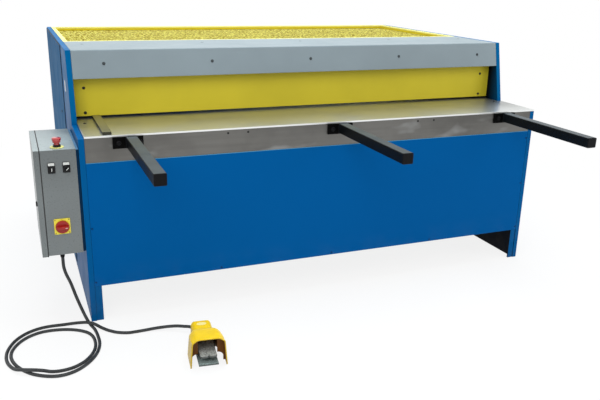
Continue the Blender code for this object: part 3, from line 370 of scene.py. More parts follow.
def ground_steel(name, colour, roughness, grain=(3.0, 260.0, 60.0), stain=0.35, metallic=1.0,
                 edge=None, cleaned=None, skin=None):
    """Ground steel with fine streaks, an oil film in patches and a few scratches; where given, a painted
    reflection and highlight at the front edge, and painted shade on faces that don't look up.
    """
    g = graph(name)
    streaks = g.noise(1.0, 6.0, stretch=grain)
    film = g.noise(4.0, 5.0, shift=2.0)
    tone = g.blend(g.span(streaks, 0.25, 0.75), scaled(colour, 0.88), scaled(colour, 1.1))
    tone = g.blend(g.span(film, 0.46, 0.7, 0.0, stain), tone, scaled(colour, 0.62))
    # Painted shade: faces that don't look up take the dark skin colour.
    if skin is not None:
        tone = g.blend(g.facing_up(0.3, 0.8), skin, tone)
    if cleaned is not None:
        wiped = g.noise(5.0, 2.0, stretch=(1.0, 1.0, 2.5), shift=4.0)
        tone = g.blend(g.span(wiped, 0.6, 0.72, 0.0, 0.5), tone, cleaned)
    if edge is not None:
        # Painted reflection lightens the front 22 cm of the top, and a painted highlight makes the front face
        # near white.
        patches = g.span(g.noise(2.2, 3.0, shift=9.0), 0.3, 0.7, 0.6, 1.0)
        tone = g.blend(g.times(g.behind(0.22, 0.02), patches), tone, scaled(colour, 1.75))
        tone = g.blend(g.behind(0.0006, 0.0022), edge, tone)
    sheen = g.maths("ADD", g.span(streaks, 0.2, 0.8, roughness - 0.05, roughness + 0.07),
                    g.span(film, 0.4, 0.7, 0.0, 0.09))
    scratches = g.noise(1.0, 2.0, stretch=(grain[0] * 9.0, grain[1] * 0.35, grain[2]), shift=7.0)
    relief = g.bump(streaks, 0.1, 0.0006)
    relief = g.bump(g.span(scratches, 0.62, 0.7), 0.06, 0.0004, relief)
    g.finish(tone, sheen, relief, Metallic=metallic)


def moulded(name, colour, roughness, grain=0.03, specular=0.5, worn=None, coat=0.0, shaded_sides=None):
    """Moulded plastic with a fine spark-eroded grain; where given, painted shade on faces that don't look up.
    """
    g = graph(name)
    tone = g.blend(g.span(g.noise(30.0, 3.0), 0.3, 0.7), scaled(colour, 0.94), scaled(colour, 1.05))
    if shaded_sides is not None:
        # Painted shade: faces that don't look up take the darker colour.
        tone = g.blend(g.facing_up(0.1, 0.55), shaded_sides, tone)
    if worn is not None:
        patches = g.span(g.noise(90.0, 4.0), 0.42, 0.62, 0.0, 0.55)
        tone = g.blend(g.times(g.edges(0.0016), patches), tone, worn)
    sheen = g.span(g.noise(60.0, 4.0, shift=4.0), 0.3, 0.7, roughness - 0.05, roughness + 0.07)
    relief = g.bump(g.noise(900.0, 2.0), grain, 0.0003)
    g.finish(tone, sheen, relief, Specular_IOR_Level=specular,
             Coat_Weight=coat, Coat_Roughness=0.08, Coat_IOR=1.6)


def cast(name, colour):
    """Sand casting: speckled, pitted skin, with painted shade on faces that don't look up."""
    g = graph(name)
    grain = g.noise(135.0, 3.0)
    blotch = g.noise(28.0, 4.0, shift=2.0)
    tone = g.blend(g.span(blotch, 0.3, 0.7), scaled(colour, 0.82), scaled(colour, 1.12))
    tone = g.blend(g.span(grain, 0.5, 0.6, 0.0, 0.6), tone, scaled(colour, 0.35))
    tone = g.blend(g.span(grain, 0.48, 0.38, 0.0, 0.5), tone, scaled(colour, 1.4))
    # Painted shade: faces that don't look up turn dark.
    tone = g.blend(g.facing_up(0.45, 0.85), scaled(colour, 0.14), tone)
    pits = g.bump(grain, 0.7, 0.0012)
    g.finish(tone, g.span(grain, 0.3, 0.7, 0.42, 0.62), pits, Metallic=0.15)


def powder_coat(name, colour, lit_top):
    """Textured powder coat of a switch cabinet, with painted light: paler low down and on top."""
    g = graph(name)
    tone = g.blend(g.span(g.noise(5.0, 3.0), 0.3, 0.7), scaled(colour, 0.95), scaled(colour, 1.05))
    # Painted light: darker from 0.62 m up, paler low down.
    tone = g.blend(g.level(0.62, 0.8), scaled(colour, 0.78), tone)
    patches = g.span(g.noise(80.0, 4.0), 0.48, 0.66, 0.0, 0.5)
    tone = g.blend(g.times(g.edges(0.0018), patches), tone, (0.55, 0.56, 0.56))
    # Painted light: faces that look up take the lighter top colour.
    patches = g.span(g.noise(7.0, 4.0, shift=1.0), 0.2, 0.8, 0.7, 1.0)
    tone = g.blend(g.times(g.facing_up(), patches), tone, lit_top)
    leather = g.bump(g.noise(340.0, 2.0), 0.1, 0.0004)
    sheen = g.span(g.noise(200.0, 2.0), 0.3, 0.7, 0.26, 0.36)
    g.finish(tone, sheen, leather, Specular_IOR_Level=0.8)


def strands(name, colour, gap_shade):
    """Painted expanded metal, bright on its strands, with painted shade in dark patches for the shaded gaps
    between them.
    """
    g = graph(name)
    # Painted shade: dark dots stand in for the shaded gaps between the strands.
    patches = g.times(g.span(g.noise(72.0, 0.0), 0.47, 0.56),
                      g.span(g.noise(5.0, 2.0, shift=6.0), 0.25, 0.5, 0.75, 1.0))
    sheen = g.span(g.noise(150.0, 3.0), 0.3, 0.7, 0.36, 0.5)
    g.finish(g.blend(patches, colour, gap_shade), sheen, g.bump(g.noise(600.0, 2.0), 0.1, 0.0003))


def sheath(name, colour):
    """Matt rubber sheath of the cable."""
    g = graph(name)
    tone = g.blend(g.span(g.noise(40.0, 4.0), 0.35, 0.7), scaled(colour, 0.8), scaled(colour, 1.5))
    g.finish(tone, g.span(g.noise(120.0, 3.0), 0.3, 0.7, 0.42, 0.6),
             g.bump(g.noise(700.0, 2.0), 0.08, 0.0003))


# Colours that several finishes share
DUST = (0.33, 0.31, 0.28)
PANEL_COLOUR = (0.0, 0.091, 0.298)

# Finishes of the pieces
# panel_blue: the paler blue on the panel's top 3 mm is a painted highlight along its top edge under the
# apron; PANEL_COLOUR below it is the paint.
enamel("panel_blue", (0.1, 0.33, 0.52), 0.4, 0.02, wear=0.25,
       below=(PANEL_COLOUR, PANEL_TOP - 0.003, PANEL_TOP - 0.001))
# frame_blue: painted shade makes the frames darker below 0.845 m and turns their inner faces between them
# near black.
enamel("frame_blue", (0.001, 0.109, 0.285), 0.4, 0.03, inner_shade=(0.001, 0.003, 0.008),
       below=((0.0, 0.09, 0.268), 0.845, 0.875))
enamel("rear_blue", PANEL_COLOUR, 0.4, 0.02, wear=0.25)
enamel("side_blue", (0.0, 0.103, 0.25), 0.44, 0.008)
# Mount plate: near black as painted shade in the gap beside the cabinet, with a painted highlight on its top.
enamel("mount_shade_blue", (0.001, 0.02, 0.055), 0.42, 0.05, lit_top=(0.14, 0.3, 0.48))
enamel("grey_enamel", (0.218, 0.266, 0.29), 0.4, 0.42, worn=(0.5, 0.5, 0.5))
enamel("yellow_enamel", (0.7, 0.58, 0.034), 0.4, 0.25, worn=(0.35, 0.3, 0.2))
# guard_yellow: the darker, deeper yellow on the rim's walls below its top is painted shade.
enamel("guard_yellow", (0.78, 0.72, 0.25), 0.42, 0.2, worn=(0.35, 0.3, 0.2),
       below=((0.56, 0.43, 0.016), GUARD_TOP - 0.01, GUARD_TOP - 0.006))
# Arms: the paler tops are partly a painted reflection and partly worn bare steel.
enamel("black_enamel", (0.004, 0.005, 0.006), 0.4, 0.12, worn=(0.12, 0.12, 0.12), lit_top=(0.07, 0.082, 0.09))
enamel("bracket_black", (0.002, 0.002, 0.002), 0.44, 0.04, worn=(0.06, 0.06, 0.06))
# Table: the near-white front colour is a painted highlight on its front face.
ground_steel("table_steel", (0.45, 0.46, 0.45), 0.3, metallic=0.86, edge=(0.86, 0.88, 0.87))
ground_steel("apron_steel", (0.185, 0.182, 0.172), 0.46, stain=0.5, cleaned=(0.36, 0.37, 0.37))
# Blades: dark brown as painted shade in the feed gap.
ground_steel("shaded_blade_steel", (0.05, 0.042, 0.03), 0.5, metallic=0.3)
# Side stop: the dark skin colour is painted shade on its sides and end.
ground_steel("bar_steel", (0.33, 0.32, 0.22), 0.4, (240.0, 4.0, 60.0), metallic=0.8, skin=(0.06, 0.06, 0.04))
# Cabinet: the paler third colour is painted light on its top.
powder_coat("cabinet_grey", (0.138, 0.156, 0.158), (0.3, 0.35, 0.355))
moulded("black_plastic", (0.007, 0.007, 0.008), 0.4, 0.03, 0.25)
moulded("red_plastic", (0.43, 0.008, 0.01), 0.2, coat=1.0)
# Hood: the darker yellow on faces that don't look up is painted shade.
moulded("hood_yellow", (0.93, 0.61, 0.006), 0.36, 0.08, 0.35, (0.9, 0.62, 0.08), shaded_sides=(0.56, 0.37, 0.012))
cast("treadle_grey", (0.68, 0.74, 0.7))
cast("base_grey", (0.5, 0.64, 0.62))
# Dark brown inside the hood: painted shade on its inner skin and webs.
moulded("hood_inside_shade", (0.15, 0.052, 0.005), 0.5, 0.08, 0.2)
moulded("dial_red", (0.33, 0.01, 0.006), 0.3)
sheath("cable_black", (0.022, 0.024, 0.025))
sheath("rubber_black", (0.01, 0.01, 0.01))
# Guard mesh: the dark patches are painted shade for the gaps between strands.
strands("mesh_yellow", (1.0, 0.93, 0.24), (0.42, 0.3, 0.015))
moulded("collar_yellow", (0.8, 0.66, 0.045), 0.34, 0.04)
moulded("collar_pale", (0.76, 0.72, 0.23), 0.34, 0.04)
enamel("screw_dark", (0.012, 0.012, 0.013), 0.38, 0.3, worn=(0.08, 0.08, 0.08), dust=0.1)
enamel("bolt_black", (0.005, 0.005, 0.006), 0.42, 0.12, worn=(0.2, 0.2, 0.2))
enamel("screw_grey", (0.05, 0.06, 0.064), 0.38, 0.3, worn=(0.12, 0.12, 0.12))
enamel("screw_blue", (0.0, 0.04, 0.14), 0.4, 0.08, dust=0.1)
moulded("cap_black", (0.004, 0.004, 0.005), 0.45, 0.03, 0.12)
# Dark discs stand in for holes: painted shade.
moulded("hole_shade", (0.004, 0.004, 0.004), 0.7)
moulded("white_label", (0.72, 0.73, 0.7), 0.45)
moulded("pale_label", (0.9, 0.76, 0.3), 0.45)
# Near black beams inside the machine: painted shade.
enamel("interior_shade", (0.006, 0.005, 0.003), 0.55, 0.05, worn=(0.05, 0.05, 0.04))

# Finish of each node whose solid is shown
ARMS = ("left", "middle", "right")
CAD_FINISHES = {
    "panel_blue": ("front_panel",),
    "rear_blue": ("rear_panel",),
    "frame_blue": ("left_side_frame", "right_side_frame"),
    # Beams inside the machine take painted shade.
    "interior_shade": ("bed_beam", "hold_down_beam", "blade_beam"),
    "side_blue": ("left_side_cover", "right_side_cover"),
    "grey_enamel": ("top_cover",),
    "yellow_enamel": ("finger_plate",),
    "guard_yellow": ("top_guard_rim",),
    "bracket_black": [side + "_arm_bracket" for side in ARMS],
    "black_enamel": [side + "_support_arm" for side in ARMS],
    "table_steel": ("table_top",),
    "apron_steel": ("table_face",),
    # Blades in the feed gap take painted shade.
    "shaded_blade_steel": ("lower_blade", "upper_blade"),
    "bar_steel": ("side_stop",),
    "cabinet_grey": ("control_cabinet", "cabinet_door"),
    "cap_black": [side + "_arm_cap" for side in ARMS],
    "treadle_grey": ("foot_switch_treadle",),
    "base_grey": ("foot_switch_base",),
}


def placed(name, data):
    """A new object of the scene."""
    made = bpy.data.objects.new(name, data)
    bpy.context.scene.collection.objects.link(made)
    return made


def make_camera():
    data = bpy.data.cameras.new("camera")
    data.sensor_width = SENSOR_WIDTH
    data.lens = FOCAL_PIXELS / IMAGE_WIDTH * SENSOR_WIDTH
    camera = placed("camera", data)
    camera.location = spot(*CAMERA_PLACE)
    camera.rotation_euler = [math.radians(angle) for angle in CAMERA_ANGLES]
    bpy.context.scene.camera = camera


def smooth_route(points, step):
    """Points along a smooth curve through the route, with its straight ends kept as they are."""
    dense = []
    for i in range(1, len(points) - 2):
        start, end = points[i], points[i + 1]
        reach = (end - start).length
        lead = (end - points[i - 1]).normalized() * reach / 3
        trail = (points[i + 2] - start).normalized() * reach / 3
        if i == 1:
            lead = (start - points[0]).normalized() * reach / 3
        if i == len(points) - 3:
            trail = (points[-1] - end).normalized() * reach / 3
        dense += interpolate_bezier(start, start + lead, end - trail, end, CABLE_SMOOTHNESS)[:-1]
    dense.append(points[-2])
    total = sum((b - a).length for a, b in zip(dense, dense[1:]))
    count = round(total / step)
    placed, walked, target = [dense[0]], 0.0, total / count
    for a, b in zip(dense, dense[1:]):
        span = (b - a).length
        while walked + span >= target and len(placed) < count:
            placed.append(a.lerp(b, (target - walked) / span))
            target += total / count
        walked += span
    return [points[0]] + placed + [dense[-1], points[-1]]


def make_cable():
    start = centre("cabinet_gland")
    start.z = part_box("cabinet_gland")[0].z - SEAT
    gland_end = HOOD_LENGTH + SEAT + FOOT_GLAND_LENGTH + SEAT
    end = SWITCH @ Vector((FOOT_GLAND_X, gland_end, FOOT_GLAND_Z))
    arrival = SWITCH.to_3x3() @ Vector((0.0, CABLE_ARRIVAL, 0.0))
    route = [start, start - Vector((0.0, 0.0, CABLE_LEAD))] + [spot(*point) for point in CABLE_ROUTE]
    route += [end + arrival, end]
    points = smooth_route(route, CABLE_STEP)
    for point in points:
        point.z = max(point.z, CABLE_REST)
    curve = bpy.data.curves.new("switch_cable", "CURVE")
    curve.dimensions = "3D"
    curve.bevel_depth = CABLE_DIAMETER / 2
    curve.bevel_resolution = 6
    curve.use_fill_caps = True
    spline = curve.splines.new("POLY")
    spline.points.add(len(points) - 1)
    for target, point in zip(spline.points, points):
        target.co = (*point, 1.0)
    curve.materials.append(MATERIALS["cable_black"])
    cable = placed("switch_cable", curve)
    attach(cable, "machine")
    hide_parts("foot_switch_cable")


def facing(point, normal):
    """A placement whose Z axis points along the normal, and its Y axis up where it can."""
    aim = Vector(normal).to_track_quat("Z", "Y")
    return Matrix.Translation(point) @ aim.to_matrix().to_4x4()


def shifted(place, x, y, z=0.0):
    """A placement moved along its own axes."""
    return place @ Matrix.Translation((x, y, z))


def face_places(normal, level, grid):
    """Placements on a face that looks along an axis, at each crossing of the grid's two rows."""
    axis = next(i for i in range(3) if normal[i])
    places = []
    for pair in product(*grid):
        point = list(pair)
        point.insert(axis, level)
        places.append(facing(spot(*point), normal))
    return places


def skin(shell, rows, around=True):
    """Faces between rows of vertices; a row of one vertex is a point."""
    for low, high in zip(rows, rows[1:]):
        count = max(len(low), len(high))
        for i in range(count if around else count - 1):
            j = (i + 1) % count
            corners = [low[i % len(low)], low[j % len(low)], high[j % len(high)], high[i % len(high)]]
            shell.faces.new(list(dict.fromkeys(corners)))


def loft(shell, rings, place):
    """Closed body over rings of points, capped at both ends."""
    rows = [[shell.verts.new(place @ Vector(point)) for point in ring] for ring in rings]
    skin(shell, rows)
    shell.faces.new(rows[0])
    shell.faces.new(rows[-1])


def lathe(shell, profile, place, segments):
    """Turned body from (radius, height) rows; a third value of True makes that row a hexagon."""
    rows = []
    for radius, height, *hexagon in profile:
        row = []
        for i in range(segments if radius > 0.0 else 1):
            angle = 2 * math.pi * i / segments
            reach = radius / math.cos(angle % (math.pi / 3) - math.pi / 6) if hexagon else radius
            point = Vector((reach * math.cos(angle), reach * math.sin(angle), height))
            row.append(shell.verts.new(place @ point))
        rows.append(row)
    skin(shell, rows)


def turned(profile, place, segments):
    shell = bmesh.new()
    lathe(shell, profile, place, segments)
    return shell


def disc(radius, low, high, cut, drop):
    """Profile of a flat disc with its upper edge cut off."""
    return [(0.0, low), (radius, low), (radius, high - drop), (radius - cut, high), (0.0, high)]


def plate(shell, outline, place, low, high):
    """Prism of an outline between two heights of a placement."""
    loft(shell, [[(x, y, height) for x, y in outline] for height in (low, high)], place)


def rounded(width, height, radius, steps=6):
    """Outline of a rectangle with rounded corners, about its middle."""
    outline = []
    for quarter, (side, end) in enumerate(((1, 1), (-1, 1), (-1, -1), (1, -1))):
        for step in range(steps + 1):
            angle = math.pi / 2 * (quarter + step / steps)
            outline.append((side * (width / 2 - radius) + radius * math.cos(angle),
                            end * (height / 2 - radius) + radius * math.sin(angle)))
    return outline


def flat(outline, place, low, high):
    shell = bmesh.new()
    plate(shell, outline, place, low, high)
    return shell


def brick(low, high):
    outline = [(low[0], low[1]), (high[0], low[1]), (high[0], high[1]), (low[0], high[1])]
    return flat(outline, Matrix(), low[2], high[2])


def soften(piece, width, angle):
    bevel = piece.modifiers.new("edges", "BEVEL")
    bevel.width = width
    bevel.segments = 3
    bevel.limit_method = "ANGLE"
    bevel.angle_limit = math.radians(angle)
    piece.modifiers.new("normals", "WEIGHTED_NORMAL").keep_sharp = True


def add_piece(name, shell, finish, body="machine", replaces=(), edge=0.0, smooth=38.0):
    """Turns a shell into a piece that rides on a body, with soft edges where it has any."""
    bmesh.ops.recalc_face_normals(shell, faces=shell.faces)
    mesh = bpy.data.meshes.new(name)
    shell.to_mesh(mesh)
    shell.free()
    mesh.shade_smooth()
    mesh.set_sharp_from_angle(angle=math.radians(smooth))
    mesh.materials.append(MATERIALS[finish])
    piece = placed(name, mesh)
    if edge:
        soften(piece, edge, smooth)
    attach(piece, body)
    if replaces:
        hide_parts(*replaces)
    return piece


def dome(radius, height, hole):
    """Profile of a button head with a hexagon socket, sunk a little into its seat."""
    rows = [(0.0, -0.0006), (radius, -0.0006), (radius, 0.0)]
    for step in range(1, 6):
        angle = math.pi / 2 * step / 5
        rows.append((hole * 1.25 + (radius - hole * 1.25) * math.cos(angle), height * math.sin(angle)))
    return rows + [(hole, height, True), (hole, height * 0.35, True), (0.0, height * 0.3)]


def flush_screws(name, places, radius, finish="screw_blue"):
    """Countersunk screws, level with the sheet that they hold."""
    shell = bmesh.new()
    hole = radius * 0.42
    profile = [(0.0, -0.0004), (radius, -0.0004), (radius, 0.0001), (radius - 0.0004, 0.0003),
               (hole * 1.2, 0.0003), (hole, 0.0003, True), (hole, 0.0001, True), (0.0, 0.0001)]
    for place in places:
        lathe(shell, profile, place, 24)
    add_piece(name, shell, finish)


def screws(name, places, radius, finish="screw_dark", washer=True):
    """Button-head screws at placements, each on its washer."""
    shell = bmesh.new()
    for place in places:
        if washer:
            lathe(shell, disc(radius * 1.45, -0.0004, 0.0012, 0.0004, 0.0003), place, 24)
        head = shifted(place, 0.0, 0.0, 0.0015 if washer else 0.0)
        lathe(shell, dome(radius, radius * 0.55, radius * 0.42), head, 24)
    add_piece(name, shell, finish)


def bolts(name, places, reach):
    """Hexagon bolts at placements, each on its washer."""
    shell = bmesh.new()
    for place in places:
        lathe(shell, disc(reach * 1.32, -0.0005, 0.0019, 0.0005, 0.0005), place, 36)
        lathe(shell, [(0.0, 0.0014), (reach, 0.0014, True), (reach, reach * 0.82, True),
                      (reach * 0.97, reach * 0.92), (reach * 0.8, reach * 0.97), (0.0, reach * 0.97)],
              place, 36)
    add_piece(name, shell, "bolt_black")


def make_fasteners():
    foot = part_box("top_cover")[0]
    y = foot.y - FRONT + (COVER_SCREW_Z - foot.z) * math.tan(THROAT_LEAN)
    lean = (0.0, -math.cos(THROAT_LEAN), math.sin(THROAT_LEAN))
    places = [facing(spot(x, y, COVER_SCREW_Z), lean) for x in COVER_SCREWS]
    screws("cover_screws", places, 0.0052, finish="screw_grey")
    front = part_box("finger_plate")[0].y - FRONT
    screws("plate_screws", face_places(TO_FRONT, front, PLATE_SCREWS), 0.005)
    places = [facing(spot(x, 0.0, z), TO_FRONT) for x, z in PANEL_SCREWS]
    screws("panel_screws", places, 0.0046, "screw_blue", False)
    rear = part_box("rear_panel")[1].y - FRONT
    flush_screws("rear_screws", face_places(TO_REAR, rear, REAR_SCREWS), 0.0065)
    for side, normal, corner in (("left", TO_LEFT, 0), ("right", TO_RIGHT, 1)):
        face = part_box(side + "_side_cover")[corner].x - LEFT
        places = face_places(normal, face, SIDE_SCREWS) + face_places(normal, face, SIDE_MIDDLE_SCREWS)
        flush_screws(side + "_side_screws", places, 0.0068)
    for name, grid, radius in (("guard_screws", GUARD_SCREWS, 0.0062),
                               ("flange_screws", FLANGE_SCREWS, 0.0072)):
        flush_screws(name, face_places(UP, GUARD_TOP, grid), radius, "screw_dark")
    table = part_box("table_top")[1].z
    screws("table_screws", face_places(UP, table, TABLE_SCREWS), 0.0062, washer=False)
    # Dark discs on the apron stand in for holes: painted shade.
    shell = bmesh.new()
    for place in face_places(TO_FRONT, 0.0, FACE_HOLES):
        lathe(shell, disc(0.0052, -0.0004, 0.0004, 0.0005, 0.0002), place, 24)
    add_piece("face_holes", shell, "hole_shade")


def make_brackets():
    """Bolts and weld beads that hold the support arms."""
    places = []
    shell = bmesh.new()
    for side in ARMS:
        low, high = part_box(side + "_support_arm")
        bracket_low, bracket_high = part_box(side + "_arm_bracket")
        z = (bracket_low.z + bracket_high.z) / 2
        for x in ((bracket_low.x + low.x) / 2 - BOLT_SHIFT, (bracket_high.x + high.x) / 2):
            places.append(facing((x, bracket_low.y, z), TO_FRONT))
        seam = Matrix.Translation(((low.x + high.x) / 2, bracket_low.y, (low.z + high.z) / 2))
        outline = rounded(high.x - low.x, high.z - low.z, ARM_CORNER, 3)
        path = []
        for (ax, az), (bx, bz) in zip(outline, outline[1:] + outline[:1]):
            pieces = max(1, round(math.hypot(bx - ax, bz - az) / WELD_STEP))
            path += [(ax + (bx - ax) * k / pieces, az + (bz - az) * k / pieces) for k in range(pieces)]
        rings = []
        for step, (x, z) in enumerate(path):
            line = Vector((x, 0.0, z))
            girth = WELD_RADIUS + WELD_RIPPLE * math.cos(step * math.pi / 2)
            ring = []
            for angle in (math.radians(45 * k) for k in range(8)):
                bead = line.normalized() * girth * math.cos(angle)
                bead.y = girth * math.sin(angle)
                ring.append(shell.verts.new(seam @ (line + bead)))
            rings.append(ring)
        skin(shell, rings + rings[:1])
    add_piece("arm_welds", shell, "black_enamel", smooth=80.0)
    bolts("bracket_bolts", places, 0.0082)


def make_guard_mesh():
    """Expanded metal of the top guard at its true scale, in two lengths."""
    low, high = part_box("top_guard_mesh")
    across = 2 * round((high.x - low.x) / DIAMOND_LONG)
    deep = 2 * round((high.y - low.y) / DIAMOND_SHORT)
    step_x, step_y = (high.x - low.x) / across, (high.y - low.y) / deep
    share = 1.0 - STRAND / 2 * math.hypot(step_x, step_y) / (step_x * step_y)
    level = high.z - STRAND_TILT - STRAND_SHEET / 2
    middle = across // 2
    for name, first, last in (("left_guard_mesh", 0, middle), ("right_guard_mesh", middle + 1, across)):
        corners, faces, known, rim = [], [], {}, {}

        def corner(i, j, lift=0.0):
            for side in (0.5, -0.5):
                corners.append((low.x + i * step_x, low.y + j * step_y, level + side * STRAND_SHEET + lift))
            return len(corners) - 2

        for i in range(first, last + 1):
            for j in range((i + 1) % 2, deep + 1, 2):
                around = [(i - 1, j), (i, j - 1), (i + 1, j), (i, j + 1)]
                outer = []
                for a, b in around:
                    if 0 <= a <= across and 0 <= b <= deep:
                        if (a, b) not in known:
                            known[a, b] = corner(a, b)
                        outer.append(known[a, b])
                for a, b in zip(outer, outer[1:] + outer[:1]):
                    if rim.pop((b, a), None) is None:
                        rim[a, b] = True
                if len(outer) < 4:
                    faces += [tuple(outer), tuple(k + 1 for k in reversed(outer))]
                    continue
                inner = [corner(i + (a - i) * share, j + (b - j) * share, (b - j) * STRAND_TILT)
                         for a, b in around]
                for k in range(4):
                    a, b, c, d = outer[k], outer[k - 3], inner[k - 3], inner[k]
                    faces += [(a, b, c, d), (d + 1, c + 1, b + 1, a + 1), (d, c, c + 1, d + 1)]
        faces += [(b, a, a + 1, b + 1) for a, b in rim]
        mesh = bpy.data.meshes.new("strands")
        mesh.from_pydata(corners, [], faces)
        shell = bmesh.new()
        shell.from_mesh(mesh)
        bpy.data.meshes.remove(mesh)
        add_piece(name, shell, "mesh_yellow", replaces=("top_guard_mesh",), smooth=20.0)


def filleted(corners):
    """Open line through corners, each rounded off over the hood's cut length."""
    points = [corners[0]]
    for before, corner, after in zip(corners, corners[1:], corners[2:]):
        corner = Vector(corner)
        start = corner + (Vector(before) - corner).normalized() * HOOD_CUT
        end = corner + (Vector(after) - corner).normalized() * HOOD_CUT
        for share in (step / HOOD_CUT_STEPS for step in range(HOOD_CUT_STEPS + 1)):
            points.append(tuple(start.lerp(corner, share).lerp(corner.lerp(end, share), share)))
    return points + [corners[-1]]


def hood_shape(y):
    """The hood's half widths and heights at a distance from its mouth."""
    rows = HOOD_FORM
    k = max(i for i in range(len(rows) - 1) if rows[i][0] <= y)
    length = rows[k + 1][0] - rows[k][0]
    t = (y - rows[k][0]) / length
    shape = []
    for column in range(1, len(rows[0])):
        slopes = [(b[column] - a[column]) / (b[0] - a[0]) for a, b in zip(rows, rows[1:])]
        here = slopes[k]

        def bend(other):
            return 2 * here * other / (here + other) if here * other > 0 else 0.0

        lead = bend(slopes[k - 1]) if k else here
        trail = bend(slopes[k + 1]) if k + 2 < len(rows) else here
        a, b = rows[k][column], rows[k + 1][column]
        smooth = ((2 * t ** 3 - 3 * t ** 2 + 1) * a + (t ** 3 - 2 * t ** 2 + t) * length * lead
                  + (3 * t ** 2 - 2 * t ** 3) * b + (t ** 3 - t ** 2) * length * trail)
        shape.append((smooth + a + (b - a) * t) / 2)
    return shape


def hood_section(y, inset):
    foot, shoulder, shoulder_z, crown, crown_z = hood_shape(y)
    half = [(foot - inset, 0.0), (shoulder - inset, shoulder_z - inset * 0.6),
            (crown - inset * 0.6, crown_z - inset)]
    return filleted(half + [(-x, z) for x, z in reversed(half)])


def make_hood():
    """Smooth hood of the foot switch with its rolled lip, and the arched webs within it; its inner skin and
    webs carry painted shade.
    """
    shell = bmesh.new()
    end = HOOD_LENGTH

    def row(y, inset):
        return [shell.verts.new(SWITCH @ Vector((x, y, z))) for x, z in hood_section(y, inset)]

    lip_end = HOOD_LIP[-1][0]
    rows = list(HOOD_LIP)
    for step in range(1, HOOD_STEPS + 1):
        rows.append((lip_end + (end - 2 * lip_end) * step / HOOD_STEPS, 0.0, HOOD_SHEET))
    outer = [row(y, out) for y, out, _ in rows]
    inner = [row(y, within) for y, _, within in rows]
    outer += [row(end - back, inset) for back, inset in HOOD_REAR]
    inner.append(row(end - HOOD_SHEET, HOOD_SHEET))
    skin(shell, outer, False)
    shell.faces.ensure_lookup_table()
    outside = len(shell.faces)
    skin(shell, inner, False)
    shell.faces.ensure_lookup_table()
    # The inner skin takes the second slot, with the hood's painted shade.
    for face in shell.faces[outside:]:
        face.material_index = 1
    skin(shell, [outer[0], inner[0]], False)
    shell.faces.new(outer[-1])
    shell.faces.new(inner[-1]).material_index = 1
    last = len(rows)
    for side in (0, -1):
        for k in range(last - 1):
            shell.faces.new([outer[k][side], outer[k + 1][side], inner[k + 1][side], inner[k][side]])
    out_first, out_last, in_first, in_last = (
        [ring[end] for ring in rings[last - 1:]] for rings in (outer, inner) for end in (0, -1))
    shell.faces.new(out_first + out_last[::-1] + in_last + in_first[::-1])
    hood = add_piece("foot_switch_shell", shell, "hood_yellow",
                     replaces=("foot_switch_hood",), smooth=50.0)
    hood.data.materials.append(MATERIALS["hood_inside_shade"])

    shell = bmesh.new()
    section = [point for point in hood_section(WEB_Y, HOOD_SHEET * 0.6) if point[0] > WEB_SIDE]
    reach, rise, foot = WEB_ARCH
    arch = [(WEB_SIDE + reach * math.sin(angle), foot + rise * math.cos(angle))
            for angle in (math.pi / 2 * step / 10 for step in range(11))]
    half = section + [(WEB_SIDE, section[-1][1])] + arch + [(WEB_SIDE + reach, 0.0)]
    for side in (1, -1):
        loft(shell, [[(side * x, y, z) for x, z in half] for y in (WEB_Y, WEB_Y + HOOD_SHEET)], SWITCH)
    # The webs take the hood's painted shade.
    add_piece("foot_switch_webs", shell, "hood_inside_shade", edge=0.0005)

    crown_z = hood_shape(HOOD_LABEL_Y)[-1]
    oval = [(0.021 * math.cos(math.radians(a)), 0.013 * math.sin(math.radians(a))) for a in range(0, 360, 10)]
    place = shifted(SWITCH, 0.0, HOOD_LABEL_Y, crown_z)
    add_piece("foot_switch_label", flat(oval, place, -0.0004, 0.0007), "pale_label", edge=0.0003)


def make_glands():
    """Cable glands: hexagon nut and collar, and a ribbed sleeve that tapers down to the cable."""
    low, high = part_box("cabinet_gland")
    cabinet_root = centre("cabinet_gland")
    cabinet_root.z = high.z
    foot_root = SWITCH @ Vector((FOOT_GLAND_X, HOOD_LENGTH + SEAT, FOOT_GLAND_Z))
    for node, root, normal, hexagon, length in (
            ("cabinet_gland", cabinet_root, DOWN, 0.0121, high.z - low.z),
            ("foot_switch_gland", foot_root, SWITCH.to_3x3() @ Vector(TO_REAR), 0.0104, FOOT_GLAND_LENGTH)):
        nut = length * 0.36
        wide = hexagon * 0.92
        tip = CABLE_DIAMETER / 2 + 0.0018
        bore = CABLE_DIAMETER / 2 + 0.0003
        rows = [(0.0, 0.0), (hexagon, 0.0, True), (hexagon, nut * 0.52, True), (hexagon * 0.98, nut * 0.6),
                (hexagon * 0.9, nut * 0.62), (hexagon * 0.9, nut * 0.7), (hexagon, nut * 0.72),
                (hexagon, nut * 0.95), (hexagon * 0.94, nut * 1.05)]
        rings = round((length - nut * 1.1) / 0.0022)
        for ring in range(rings):
            for share, groove in ((0.0, 0.0006), (0.25, 0.0), (0.7, 0.0), (0.95, 0.0006)):
                place = (ring + share) / rings
                rows.append((wide + (tip - wide) * place - groove, nut * 1.1 + (length - nut * 1.1) * place))
        rows += [(tip - 0.0006, length), (bore, length), (bore, length - 0.002), (0.0, length - 0.002)]
        add_piece(node + "_body", turned(rows, facing(root, normal), 48), "black_plastic",
                  replaces=(node,), smooth=30.0)


